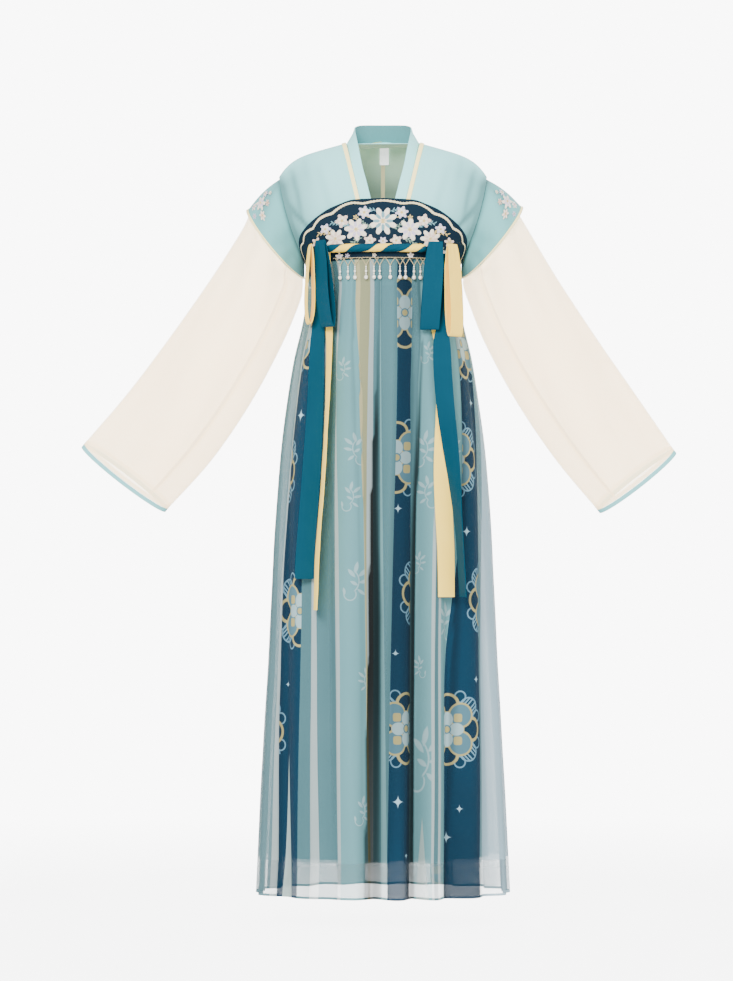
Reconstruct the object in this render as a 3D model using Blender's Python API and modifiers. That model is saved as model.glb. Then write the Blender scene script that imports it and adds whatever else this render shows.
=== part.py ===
"""Chest-high skirt and short-jacket set, filled out as if worn, with nobody inside it.

Units are metres, +Z is up and the front faces -Y. Every size below is in millimetres and MM turns it
into metres. The origin lies between the two points where the neckline crosses the shoulder seams.
Left and right are the wearer's, so the left side is at +X.
"""

import math
from collections import namedtuple

import bpy
from mathutils import Vector

MM = 0.001

# Cloth thicknesses and the gaps between pieces
CLOTH = 1.2
COLLAR_CLOTH = 1.8
BAND_CLOTH = 1.6
TRIM_CLOTH = 1.0
SEAM_GAP = 0.3
COLLAR_TUCK = 1.1
PIPING_LIFT = 1.75
TAPE_SINK = 1.7
LABEL_SINK = 4.3
BAND_LIFT = 3.7
BAND_TO_SKIRT = 0.8
BAND_SEAM_ANGLE = 0.3

# The jacket's shoulders and neck
NECK_HALF = 66.0
SHOULDER_HALF = 187.0
SHOULDER_DROP = 61.0
NECK_RISE_BACK = 43.0
NECK_DROP_BACK = 34.0
ARMHOLE_HEIGHT = 157.0
ARMHOLE_FOOT = 139.0
ARMHOLE_BOW = 28.0
PIPING_WIDTH = 8.0
PIPING_START = 218.0
TAPE_HALF = 3.6
DRAG_FOLD_DEPTH = 5.0

# The skirt
SKIRT_HEM = -1348.0
LINING_TOP = -264.0
LINING_HEM = -1282.0
SKIRT_ROWS = 10
LINING_ROWS = 6
PANEL_STEPS = 6
BAND_FRONT_STEPS = 28
BAND_BACK_STEPS = 18
FRONT_FOLD_STEPS = 3
BACK_FOLD_STEPS = 2
FOLD_START = 0.04
FOLD_GROWTH = 0.85
SEAM_STRIP_ANGLE = 0.8

# Ribbons, belt and bead fringe
RIBBON_WIDTH = 34.0
RIBBON_CLOTH = 1.2
BELT_STRAND_RADIUS = 3.6
BELT_TWIST_RADIUS = 3.9
BELT_PITCH = 64.0
BELT_HEIGHT = -198.5
BELT_STEPS = 34
BELT_LIFT = 0.9
BELT_ENDS = (-93.0, 70.4)
FRINGE_HALF = 84.0
FRINGE_LIFT = 5.9
FRINGE_SWING = 3.4

# Two profiles of the worn form: a height, or a drop below the shoulder ridge, and a half size
TORSO_WIDTH = ((-310, 127), (-262, 129.5), (-234, 133), (-218, 139), (-206, 148), (-177, 172),
               (-137, 215), (-100, 270), (-60, 300), (60, 320))
FRONT_DEPTH = ((0, 0), (0.3, 4), (2, 11), (6, 20), (30, 45), (75, 73), (107, 88), (118, 93), (160, 107),
               (196, 112.5), (218, 113), (262, 112), (310, 109), (360, 108))
BACK_DEPTH = ((0, 0), (0.3, 5), (2, 13), (6, 24), (14, 38), (34, 58), (60, 74), (100, 87), (150, 95),
              (200, 98), (261, 98), (310, 96), (380, 95))
NECKLINE = ((-320, 22.5), (-184, 22.5), (-108, 40.5), (-60, 51.8), (-25, 60), (-8, 64), (0, 66))

# Rows of the jacket panels: the drop of the row at the neck or centre edge, and its height at the armhole
# or side seam. A back row also says how far from the centre it starts.
FrontRow = namedtuple("FrontRow", "drop end_height")
FRONT_ROWS = (
    FrontRow(0, -61), FrontRow(0.3, -61.6), FrontRow(6, -67), FrontRow(16, -75), FrontRow(34, -87),
    FrontRow(62, -106), FrontRow(95, -128), FrontRow(128, -152), FrontRow(160, -178),
    FrontRow(190, -202), FrontRow(218, -218), FrontRow(240, -238), FrontRow(275, -272),
    FrontRow(310, -310),
)
BackRow = namedtuple("BackRow", "start drop end_height")


def neck_drop(x):
    """How far below the ridge the back of the neckline lies at x."""
    return NECK_DROP_BACK * (1 - (x / NECK_HALF) ** 2)


BACK_ROWS = (
    BackRow(66, 0, -61), BackRow(65.5, neck_drop(65.5), -61.6), BackRow(62, neck_drop(62), -67),
    BackRow(56, neck_drop(56), -74), BackRow(46, neck_drop(46), -83), BackRow(34, neck_drop(34), -93),
    BackRow(18, neck_drop(18), -104), BackRow(0, neck_drop(0), -116),
    BackRow(0, 64, -136), BackRow(0, 110, -160), BackRow(0, 165, -186), BackRow(0, 222, -208),
    BackRow(0, 261, -218), BackRow(0, 283, -240), BackRow(0, 318, -275), BackRow(0, 353, -310),
)

# The collar's free edge, by its way along the neckline: below zero it is the height on the front, and
# above zero the distance in from the shoulder seam towards the centre of the back
CollarEdge = namedtuple("CollarEdge", "way x y z")
COLLAR_EDGE = (
    CollarEdge(-310, 0.4, -109.2, -310), CollarEdge(-250, 0.4, -112.7, -250),
    CollarEdge(-190, 0.4, -112.2, -190), CollarEdge(-150, 10.2, -103.8, -151),
    CollarEdge(-108, 21.3, -87.2, -109), CollarEdge(-75, 29.4, -73.0, -76),
    CollarEdge(-48, 36.5, -58.5, -49), CollarEdge(-25, 44.5, -42, -9), CollarEdge(-8, 49.5, -22, 14),
    CollarEdge(0, 51.5, 2, 29), CollarEdge(4, 52, 15, 33.5), CollarEdge(16, 44.5, 31, 36),
    CollarEdge(38, 26, 45, 37.5), CollarEdge(66, 0, 50, 38),
)
COLLAR_STAND_WAY = -48

# The chest band: an angle round the body (0 is the front), and the heights of its two edges there
BandEdge = namedtuple("BandEdge", "angle top bottom")
CHEST_BAND = (
    BandEdge(0, -107.6, -218), BandEdge(11.3, -110, -218), BandEdge(19, -119, -218),
    BandEdge(26, -128.5, -218.4), BandEdge(36, -144, -219.5), BandEdge(45.5, -158, -222),
    BandEdge(62, -182, -233), BandEdge(76, -209, -248), BandEdge(90, -231, -257),
    BandEdge(135, -234, -260), BandEdge(180, -235, -261),
)

# Rings of the skirt and of its lining: a height and the half sizes there
Ring = namedtuple("Ring", "height side front back")
SKIRT_RINGS = (
    Ring(-218, 143.5, 117.6, 102.7), Ring(-240, 138, 118.2, 102.9), Ring(-262, 135.2, 119, 103.4),
    Ring(-319, 143, 123, 106.6), Ring(-391, 159.6, 127.6, 111.4), Ring(-463, 171, 132, 117),
    Ring(-571, 184, 140, 127), Ring(-715, 194, 148, 138), Ring(-931, 204, 158, 151),
    Ring(-1147, 216, 167, 163), Ring(-1348, 225, 174, 172),
)
LINING_RINGS = (
    Ring(-264, 132.3, 114.4, 100), Ring(-319, 138.5, 113.6, 101), Ring(-391, 149, 116, 104),
    Ring(-571, 163, 121, 111.5), Ring(-751, 173, 125, 119), Ring(-967, 180, 131, 127),
    Ring(-1282, 190, 139, 137),
)

# Folds of the skirt round its ring: the angle of each ridge or trough at the top and at the hem, and how
# far it stands out or in at the hem
Fold = namedtuple("Fold", "top hem depth")
FRONT_FOLDS = (
    Fold(-90, -90, 4), Fold(-86, -80, -6), Fold(-82, -69, 12), Fold(-74, -51, -9), Fold(-62, -38, 8),
    Fold(-40, -26, -2), Fold(-27, -13.5, 9), Fold(-7.6, -4.2, -24), Fold(9.9, 6.8, 14),
    Fold(24.2, 14.2, -26), Fold(34.6, 22.8, 18), Fold(43.5, 30.5, -12), Fold(62, 43.5, 12),
    Fold(74, 56, -10), Fold(81, 68, 10), Fold(86, 79.5, -6), Fold(90, 90, 4),
)
BACK_FOLDS = (
    Fold(90, 90, 4), Fold(97, 98, -8), Fold(106, 108, 11), Fold(116, 120, -12), Fold(127, 130, 12),
    Fold(137, 141, -15), Fold(147, 150, 13), Fold(158, 161, -12), Fold(168, 170, 10),
    Fold(178, 179, -18), Fold(189, 188, 13), Fold(199, 199, -12), Fold(209, 208, 12),
    Fold(220, 219, -14), Fold(231, 230, 12), Fold(242, 241, -11), Fold(252, 251, 11),
    Fold(262, 261, -8), Fold(270, 270, 4),
)
LINING_WAVES = 8
LINING_WAVE_DEPTH = 3.0

# Rings of the sleeves on the wearer's left. Right sleeves have their own rows, then mirrored.
SleeveRing = namedtuple("SleeveRing", "top_x top_z low_x low_z front back bow")
LEFT_SLEEVE = (
    SleeveRing(240, -122.8, 144.6, -239, 55, 57, 1), SleeveRing(246, -131, 144.2, -257, 57, 59, 0.9),
    SleeveRing(264, -160.5, 153, -285, 57, 59, 0.6),
    SleeveRing(314, -244, 184, -362, 52, 53, 0.2), SleeveRing(384, -350, 239, -464, 43, 43, 0),
    SleeveRing(454, -451, 309, -568, 34, 33, 0), SleeveRing(523, -551, 385, -659.5, 25, 23, 0),
)
RIGHT_SLEEVE = (
    SleeveRing(238, -125, 144.6, -239, 55, 57, 1), SleeveRing(242, -133, 144.2, -258, 57, 59, 0.9),
    SleeveRing(257, -162, 150, -288, 57, 59, 0.6),
    SleeveRing(309, -243, 183, -366, 52, 53, 0.2), SleeveRing(382, -347, 239, -470, 43, 43, 0),
    SleeveRing(459, -449, 309, -572, 34, 33, 0), SleeveRing(537.5, -540.5, 386.6, -657.6, 25, 23, 0),
)
CUFF_AXIS = Vector((0.62, 0.0, -0.78))
CUFF_WIDTH = 8.0
CUFF_FRONT_LEAD = 9.0
SLEEVE_SIDES = 24

# Ribbon loops: the middle of the top, how long it is and how far its strands part, how far its foot
# drifts from under its top, and its turn about the vertical in degrees
Loop = namedtuple("Loop", "name x y top length gap drift_x drift_y turn")
LOOPS = (
    Loop("teal_loop_right", -111.1, -111, -184, 155, 14, 14, -12, -50),
    Loop("cream_loop_right", -128.8, -99, -190, 142, 15, -2, 4, -80),
    Loop("teal_loop_left", 93, -117, -187, 157, 12, -11, -9, 6),
    Loop("cream_loop_left", 122.5, -113, -191, 164, 15, 5, 1, 50),
)
LOOP_SIDES = 18

# Hanging ribbon ends: rows of height, middle, turn in degrees, width, and clearance from the skirt's folds
Tail = namedtuple("Tail", "height x turn width clear")
TAILS = {
    "teal_tail_right": (
        Tail(-206, -114, 0, 13, 5.0), Tail(-325, -114.9, 4, 20.8, 4), Tail(-375, -117, 12, 27, 4),
        Tail(-468, -120, 30, 33, 4), Tail(-600, -127, 12, 33, 4), Tail(-733, -137, 14, 34, 4),
        Tail(-784, -139, 8, 34, 4),
    ),
    "cream_tail_right": (
        Tail(-206, -99, 0, 11, 3.2), Tail(-325, -96, 30, 13, 4), Tail(-375, -96, 66, 24, 5),
        Tail(-468, -99, 78, 34, 5), Tail(-600, -106, 80, 34, 5), Tail(-733, -116, 78, 34, 5),
        Tail(-839, -120, 80, 34, 5),
    ),
    "teal_tail_left": (
        Tail(-206, 107, 0, 12, 3.9), Tail(-325, 105, 2, 19, 14.5), Tail(-375, 104, 6, 31, 13),
        Tail(-468, 109, 14, 33, 13), Tail(-600, 124, 50, 34, 13), Tail(-700, 133, 76, 34, 12),
        Tail(-816, 140, 80, 34, 12),
    ),
    "cream_tail_left": (
        Tail(-206, 90, 0, 10, 3.7), Tail(-325, 90, 0, 11, 4), Tail(-375, 102, -4, 21, 4),
        Tail(-468, 106, -8, 24, 4), Tail(-600, 105, -12, 31, 4), Tail(-733, 111, -16, 31, 4),
        Tail(-816, 112, -20, 31, 4),
    ),
}

# Bead fringe: where the strands hang along the band's lower edge, and rows of a strand's height and width
FRINGE_PLACES = (-73.5, -60, -48, -29, -15.5, -5.5, 12.4, 29, 38.5, 53, 64, 72)
Strand = namedtuple("Strand", "height half swing")
FRINGE_ROWS = (
    Strand(-213.5, 1.2, 0.0), Strand(-217.2, 1.2, 0.3), Strand(-222, 0.9, 0.9), Strand(-242, 0.9, 1.0),
    Strand(-248, 2.2, 1.0), Strand(-252.5, 1.9, 1.0), Strand(-255.5, 0.6, 1.0),
)
FRINGE_TAPE_ROWS = 2

# Half sleeves: the top corner of the hem, the same for the foot, and how far the hem bows at front and back
HalfSleeve = namedtuple("HalfSleeve", "side top_x top_z low_x low_z")
HALF_SLEEVES = {
    "half_sleeve_left": HalfSleeve(1, 250, -116.5, 141.5, -243),
    "half_sleeve_right": HalfSleeve(-1, 243.5, -122, 141.5, -243),
}
HALF_HEM_FRONT = Vector((11, -60, -9))
HALF_HEM_BACK = Vector((9, 62, -7))
HALF_TUCK = 4.5
HALF_PUFF = 5.0
HALF_STATIONS = (0.0, 0.07, 0.25, 0.5, 0.75, 1.0)
SLEEVE_HEAD_SHARE = 0.75
SLEEVE_HEAD_SINK = 2.6

Finish = namedtuple("Finish", "name colour roughness")
PALE_TEAL = Finish("pale teal cloth", (0.58, 0.74, 0.74), 0.75)
TEAL_MESH = Finish("teal sleeve cloth", (0.36, 0.58, 0.58), 0.75)
CREAM = Finish("cream trim", (0.86, 0.75, 0.52), 0.7)
WHITE = Finish("white label", (0.85, 0.86, 0.85), 0.7)
ORGANZA = Finish("ivory organza", (0.88, 0.82, 0.72), 0.6)
CUFF_BLUE = Finish("pale blue binding", (0.48, 0.65, 0.65), 0.65)
NAVY = Finish("navy ground", (0.02, 0.09, 0.14), 0.7)
DEEP_TEAL = Finish("deep teal ribbon", (0.01, 0.15, 0.24), 0.6)
BUTTER = Finish("butter ribbon", (0.93, 0.74, 0.48), 0.6)
SKIRT_BLUE = Finish("blue grey chiffon", (0.26, 0.42, 0.46), 0.7)
LINING_BLUE = Finish("lining", (0.42, 0.58, 0.6), 0.75)
PEARL = Finish("pearl beads", (0.85, 0.8, 0.72), 0.3)


def clear_scene():
    """Removes what the startup file brings."""
    for obj in list(bpy.data.objects):
        bpy.data.objects.remove(obj)


def material_of(finish):
    """The Principled material of a finish, made once."""
    found = bpy.data.materials.get(finish.name)
    if found:
        return found
    material = bpy.data.materials.new(finish.name)
    material.use_nodes = True
    shader = material.node_tree.nodes["Principled BSDF"]
    shader.inputs["Base Color"].default_value = (*finish.colour, 1.0)
    shader.inputs["Roughness"].default_value = finish.roughness
    shader.inputs["Metallic"].default_value = 0.0
    material.diffuse_color = (*finish.colour, 1.0)
    return material


def lookup(table, at):
    """Reads a table of (place, value) pairs with a smooth curve that doesn't overshoot."""
    if at <= table[0][0]:
        return table[0][1]
    if at >= table[-1][0]:
        return table[-1][1]
    slopes = [
        (after[1] - before[1]) / (after[0] - before[0]) for before, after in zip(table, table[1:])
    ]
    index = 0
    while at > table[index + 1][0]:
        index += 1
    start, end = table[index], table[index + 1]
    width = end[0] - start[0]
    share = (at - start[0]) / width

    def bend(left, right):
        return 2 * left * right / (left + right) if left * right > 0 else 0.0

    first = bend(slopes[index - 1], slopes[index]) if index > 0 else slopes[index]
    last = bend(slopes[index], slopes[index + 1]) if index + 1 < len(slopes) else slopes[index]
    square, cube = share * share, share * share * share
    return (
        (2 * cube - 3 * square + 1) * start[1]
        + (cube - 2 * square + share) * width * first
        + (3 * square - 2 * cube) * end[1]
        + (cube - square) * width * last
    )


def column(rows, place, value):
    """A (place, value) table from two named columns, sorted by place."""
    return sorted((getattr(row, place), getattr(row, value)) for row in rows)


def mix(first, second, share):
    return first + (second - first) * share


def cloth_object(name, rows, finish, thickness=CLOTH, ring=False, side=1, mirror=False):
    """A wall of cloth from rows of outer points in millimetres, with its thickness added inwards.

    ring joins the last column to the first. side is -1 on a piece for the wearer's right, whose faces
    turn round. mirror adds the other half of a piece that is open at the middle plane.
    """
    across = len(rows[0])
    points = [Vector((point.x * side, point.y, point.z)) * MM for row in rows for point in row]
    faces = []
    for row in range(len(rows) - 1):
        for place in range(across if ring else across - 1):
            after = (place + 1) % across
            corners = (
                row * across + place, row * across + after,
                (row + 1) * across + after, (row + 1) * across + place,
            )
            faces.append(corners if side > 0 else corners[::-1])
    mesh = bpy.data.meshes.new(name)
    mesh.from_pydata(points, [], faces)
    mesh.polygons.foreach_set("use_smooth", [True] * len(faces))
    obj = bpy.data.objects.new(name, mesh)
    if mirror:
        other = obj.modifiers.new("other half", "MIRROR")
        other.merge_threshold = 0.0001
    wall = obj.modifiers.new("cloth", "SOLIDIFY")
    wall.thickness = thickness * MM
    wall.offset = -1.0
    mesh.materials.append(material_of(finish))
    bpy.data.collections["hanfu_set"].objects.link(obj)
    return obj


def tube_object(name, path, radius, finish):
    """A round strand along a path in millimetres."""
    curve = bpy.data.curves.new(name, "CURVE")
    curve.dimensions = "3D"
    curve.bevel_depth = radius * MM
    curve.bevel_resolution = 2
    curve.use_fill_caps = True
    spline = curve.splines.new("POLY")
    spline.points.add(len(path) - 1)
    for knot, point in zip(spline.points, path):
        knot.co = (point.x * MM, point.y * MM, point.z * MM, 1.0)
    obj = bpy.data.objects.new(name, curve)
    curve.materials.append(material_of(finish))
    bpy.data.collections["hanfu_set"].objects.link(obj)
    return obj


# The worn form
def shoulder_height(x):
    """Height of the shoulder ridge at x."""
    reach = (abs(x) - NECK_HALF) / (SHOULDER_HALF - NECK_HALF)
    reach = min(max(reach, 0.0), 1.03)
    return -SHOULDER_DROP * (0.55 * reach + 0.45 * reach**6)


def back_height(x):
    """The ridge as the back sees it, with the rise of the neck at the centre."""
    inner = max(0.0, 1 - (x / NECK_HALF) ** 2)
    return shoulder_height(x) + NECK_RISE_BACK * inner**1.5


def torso_width(height):
    return lookup(TORSO_WIDTH, height)


def edge_x(height):
    """Half width of a jacket panel at its armhole edge, or at its side seam below that."""
    down = (-SHOULDER_DROP - height) / ARMHOLE_HEIGHT
    if down > 1:
        return torso_width(height)
    return mix(SHOULDER_HALF, ARMHOLE_FOOT, down) + ARMHOLE_BOW * down * (1 - down)


def edge_point(height, front):
    """The point of the armhole edge at this height, on the front or the back half."""
    x = edge_x(height)
    ridge = shoulder_height(x)
    table = FRONT_DEPTH if front else BACK_DEPTH
    depth = lookup(table, max(0.0, ridge - height)) * math.sqrt(max(0.0, 1 - (x / torso_width(height)) ** 2))
    return Vector((x, -depth if front else depth, height))


def drag_fold(x, height):
    """How far the soft fold beside each armhole draws the front in."""
    across = math.exp(-(((abs(x) - 157) / 9) ** 2))
    along = math.exp(-(((height + 125) / 38) ** 2))
    return DRAG_FOLD_DEPTH * across * along


def body_row(start_x, drop, end_height, shares, front):
    """Points of one panel row, from its neck or centre edge to its armhole or side seam."""
    ridge = shoulder_height if front else back_height
    table = FRONT_DEPTH if front else BACK_DEPTH
    end_x = edge_x(end_height)
    end_drop = max(0.0, ridge(end_x) - end_height)
    if drop == 0:
        end_drop = 0.0
    width = max(torso_width(end_height), end_x)
    first, last = math.asin(start_x / width), math.asin(min(1.0, end_x / width))
    level = min(max((drop - 30) / 90, 0.0), 1.0)
    row = []
    for share in shares:
        angle = mix(first, last, share)
        x = width * math.sin(angle)
        below_ridge = ridge(x) - mix(drop, end_drop, share)
        straight = mix(ridge(start_x) - drop, end_height, share)
        height = mix(below_ridge, straight, level)
        depth = lookup(table, ridge(x) - height) * math.cos(angle)
        if front:
            depth -= drag_fold(x, height)
        depth = max(depth, SEAM_GAP / 2)
        row.append(Vector((x, -depth if front else depth, height)))
    return row


def front_surface(angle, height, lift):
    """A point of the jacket's front, or of its back past 90 degrees, moved out by lift."""
    turn = math.radians(angle)
    width = torso_width(height)
    x = width * math.sin(turn)
    front = math.cos(turn) >= 0
    ridge = shoulder_height(x) if front else back_height(x)
    depth = lookup(FRONT_DEPTH if front else BACK_DEPTH, max(0.0, ridge - height))
    outward = Vector((math.sin(turn) / width, -math.cos(turn) / depth, 0)).normalized()
    return Vector((x, -depth * math.cos(turn), height)) + outward * lift


def share_steps(steps, strip=0.02):
    """Even shares from 0 to 1, with a narrow step beside each end that keeps the seam's rim straight."""
    return [0.0, strip] + [step / steps for step in range(1, steps)] + [1 - strip, 1.0]


# The jacket
def make_front(name, side):
    rows = []
    for station in FRONT_ROWS:
        start = lookup(NECKLINE, -station.drop) + SEAM_GAP
        row = body_row(start, station.drop, station.end_height, share_steps(PANEL_STEPS), True)
        if station.end_height < -SHOULDER_DROP - ARMHOLE_HEIGHT:
            row[-1].y = -SEAM_GAP / 2
        rows.append(row)
    return cloth_object(name, rows[::-1], PALE_TEAL, side=side)


def back_rows():
    """Rows of the left half of the back panel, from the ridge down."""
    rows = []
    for station in BACK_ROWS:
        shares = share_steps(PANEL_STEPS)
        shares.remove(0.02)
        row = body_row(station.start, station.drop, station.end_height, shares, False)
        if station.end_height < -SHOULDER_DROP - ARMHOLE_HEIGHT:
            row[-1].y = SEAM_GAP / 2
        rows.append(row)
    return rows


def make_back(name):
    return cloth_object(name, back_rows(), PALE_TEAL, mirror=True)


def collar_rails():
    """Seam edge and free edge of half the collar, from the jacket's hem round to the centre of the back."""
    seams = []
    for station in FRONT_ROWS[::-1]:
        start = lookup(NECKLINE, -station.drop)
        seams.append((-station.drop, body_row(start, station.drop, station.end_height, [0.0], True)[0]))
    for station in BACK_ROWS[1:]:
        if station.drop <= NECK_DROP_BACK:
            point = body_row(station.start, station.drop, station.end_height, [0.0], False)[0]
            seams.append((NECK_HALF - station.start, point))
    rails = []
    for way, seam in seams:
        free = Vector([lookup(column(COLLAR_EDGE, "way", axis), way) for axis in "xyz"])
        tuck = COLLAR_TUCK * min(max((way - COLLAR_STAND_WAY) / abs(COLLAR_STAND_WAY), 0.0), 1.0)
        rails.append((seam + Vector((-seam.x, -seam.y, 0)).normalized() * tuck, free))
    return rails


def smooth_points(points, steps):
    """A curve through the points, with this many steps between each two."""
    found = []
    for index in range(len(points) - 1):
        before = points[max(index - 1, 0)]
        start, end = points[index], points[index + 1]
        after = points[min(index + 2, len(points) - 1)]
        for step in range(steps):
            share = step / steps
            found.append(
                0.5 * (2 * start + (end - before) * share
                       + (2 * before - 5 * start + 4 * end - after) * share**2
                       + (3 * start - before - 3 * end + after) * share**3)
            )
    return found + [points[-1]]


def make_collar(name):
    left = [[free, (seam + free) / 2, seam] for seam, free in collar_rails()]
    right = [[Vector((-p.x, p.y, p.z)) for p in row] for row in left[:-1]]
    return cloth_object(name, left + right[::-1], PALE_TEAL, thickness=COLLAR_CLOTH)


# Chest band
def band_row(angles, edge, lift):
    top = column(CHEST_BAND, "angle", "top")
    bottom = column(CHEST_BAND, "angle", "bottom")
    row = []
    for angle in angles:
        turn = angle if angle <= 180 else 360 - angle
        row.append(front_surface(angle, mix(lookup(top, abs(turn)), lookup(bottom, abs(turn)), edge), lift))
    return row


def make_band(name, start, steps):
    """Half of the chest band, from the angle of one side seam to the other."""
    span = 180 - 2 * BAND_SEAM_ANGLE
    angles = [start + BAND_SEAM_ANGLE + span * step / steps for step in range(steps + 1)]
    rows = [band_row(angles, edge, BAND_LIFT) for edge in (1, 0.75, 0.5, 0.25, 0)]
    return cloth_object(name, rows, NAVY, thickness=BAND_CLOTH)


# Skirt
def ring_point(rings, angle, height, stand):
    """A point of a skirt ring, moved out by stand along the ring's own outward direction."""
    turn = math.radians(angle)
    side = lookup(column(rings, "height", "side"), height)
    depth = lookup(column(rings, "height", "front" if math.cos(turn) >= 0 else "back"), height)
    outward = Vector((math.sin(turn) / side, -math.cos(turn) / depth, 0)).normalized()
    return Vector((side * math.sin(turn), -depth * math.cos(turn), height)) + outward * stand


def fold_columns(folds, steps):
    """Fold places between the table's rows, with troughs narrower than ridges."""
    columns = []
    for start, end in zip(folds, folds[1:]):
        for step in range(steps):
            share = step / steps
            rise = 0.5 - 0.5 * math.cos(math.pi * share)
            rise = rise**0.75 if end.depth > start.depth else 1 - (1 - rise) ** 0.75
            columns.append(
                Fold(mix(start.top, end.top, share), mix(start.hem, end.hem, share),
                     mix(start.depth, end.depth, rise))
            )
    first, last = folds[0], folds[-1]
    columns.insert(1, first._replace(top=first.top + SEAM_STRIP_ANGLE, hem=first.hem + SEAM_STRIP_ANGLE))
    near_last = last._replace(top=last.top - SEAM_STRIP_ANGLE, hem=last.hem - SEAM_STRIP_ANGLE)
    return columns + [near_last, last]


def skirt_top(angle):
    bottom = column(CHEST_BAND, "angle", "bottom")
    return lookup(bottom, abs(angle) if angle <= 180 else 360 - angle) - BAND_TO_SKIRT


def make_skirt_half(name, folds, steps, seam):
    """Half of the skirt. seam is how far its two side edges lie from the middle plane."""
    columns = fold_columns(folds, steps)
    rows = []
    for step in range(SKIRT_ROWS + 1):
        down = (step / SKIRT_ROWS) ** 1.25
        row = []
        for fold in columns:
            angle = mix(fold.top, fold.hem, down**0.8)
            height = mix(skirt_top(fold.top), SKIRT_HEM, down)
            stand = mix(FOLD_START * fold.depth, fold.depth, down**FOLD_GROWTH)
            row.append(ring_point(SKIRT_RINGS, angle, height, stand))
        rows.append(row)
    for row in rows:
        for end in (row[0], row[-1]):
            end.y = seam
    return cloth_object(name, rows[::-1], SKIRT_BLUE)


def make_lining(name):
    rows = []
    for step in range(LINING_ROWS + 1):
        down = step / LINING_ROWS
        height = mix(LINING_TOP, LINING_HEM, down)
        row = []
        for place in range(LINING_WAVES * 4):
            angle = 360 * place / (LINING_WAVES * 4) - 180
            stand = -LINING_WAVE_DEPTH * down * (0.5 - 0.5 * math.cos(math.radians(angle * LINING_WAVES)))
            row.append(ring_point(LINING_RINGS, angle, height, stand))
        rows.append(row)
    return cloth_object(name, rows[::-1], LINING_BLUE, ring=True)


# Trim that lies on a panel
def moved_out(rows, lift):
    """The same grid of points, each moved by lift along the grid's own outward direction."""
    found = []
    last_row, last_place = len(rows) - 1, len(rows[0]) - 1
    for index, row in enumerate(rows):
        line = []
        for place, point in enumerate(row):
            along = rows[min(index + 1, last_row)][place] - rows[max(index - 1, 0)][place]
            across = row[min(place + 1, last_place)] - row[max(place - 1, 0)]
            line.append(point + across.cross(along).normalized() * lift)
        found.append(line)
    return found


def on_back(x, height):
    """The point of the back panel's own faces at x and height."""
    found = []
    rows = back_rows()
    for upper, lower in zip(rows, rows[1:]):
        for place in range(len(upper) - 1):
            corners = (upper[place], upper[place + 1], lower[place + 1], lower[place])
            for left_out in range(4):
                a, b, c = (corners[index] for index in range(4) if index != left_out)
                area = (b.x - a.x) * (c.z - a.z) - (c.x - a.x) * (b.z - a.z)
                if abs(area) < 0.001:
                    continue
                second = ((abs(x) - a.x) * (c.z - a.z) - (c.x - a.x) * (height - a.z)) / area
                third = ((b.x - a.x) * (height - a.z) - (abs(x) - a.x) * (b.z - a.z)) / area
                if min(second, third, 1 - second - third) > -0.03:
                    found.append(a.y + (b.y - a.y) * second + (c.y - a.y) * third)
    return Vector((x, max(found), height))


def strip_share(start, drop, end_height, width):
    """The share of a front panel row that spans this width."""
    trial = 0.05
    near, far = body_row(start, drop, end_height, (0.0, trial), True)
    return trial * width / (far - near).length


def piping_rows():
    """Half of the piping, from under the chest band up the lapel and round to the centre of the back."""
    rows = []
    for station in FRONT_ROWS[::-1]:
        if station.drop <= PIPING_START:
            start = lookup(NECKLINE, -station.drop) + SEAM_GAP
            share = strip_share(start, station.drop, station.end_height, PIPING_WIDTH)
            shares = (0.12 * share, 0.56 * share, share)
            rows.append(body_row(start, station.drop, station.end_height, shares, True))
    for start in (65.5, 62, 56, 46, 34, 26, 18, 9, 0):
        row = []
        for width in (0.6, PIPING_WIDTH / 2, PIPING_WIDTH):
            x = start * (1 + width / NECK_HALF)
            down = neck_drop(start) + width * (0.15 + 0.7 * (1 - start / NECK_HALF))
            row.append(on_back(x, back_height(x) - down))
        rows.append(row)
    return rows


def make_piping(name):
    half = moved_out(piping_rows(), PIPING_LIFT)
    other = [[Vector((-p.x, p.y, p.z)) for p in row] for row in half[:-1]]
    return cloth_object(name, half + other[::-1], CREAM, thickness=TRIM_CLOTH)


def back_strip(places, heights, sink):
    """Points that lie sink behind the back panel's outer face."""
    return moved_out([[on_back(x, height) for x in places] for height in heights], -sink)


def make_back_tape(name):
    rows = back_strip((-TAPE_HALF, 0.0, TAPE_HALF), [0 - 28 * step for step in range(12)], TAPE_SINK)
    return cloth_object(name, rows, CREAM, thickness=TRIM_CLOTH)


def make_label(name):
    rows = back_strip((-6.0, 0.0, 11.0), (2, -8, -19, -30), LABEL_SINK)
    return cloth_object(name, rows, WHITE, thickness=TRIM_CLOTH)


# Sleeves
def ring_share(angle):
    """How far down a sleeve's ring this angle lies, where 0 is its top and 180 its foot."""
    return (1 - math.cos(math.radians(angle))) / 2


def armhole_point(angle):
    """A point of the left armhole, from its top by way of the front, at 90 degrees, to its foot and back."""
    height = -SHOULDER_DROP - ARMHOLE_HEIGHT * ring_share(angle)
    return edge_point(max(height, -SHOULDER_DROP - ARMHOLE_HEIGHT + 0.01), angle <= 180)


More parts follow.
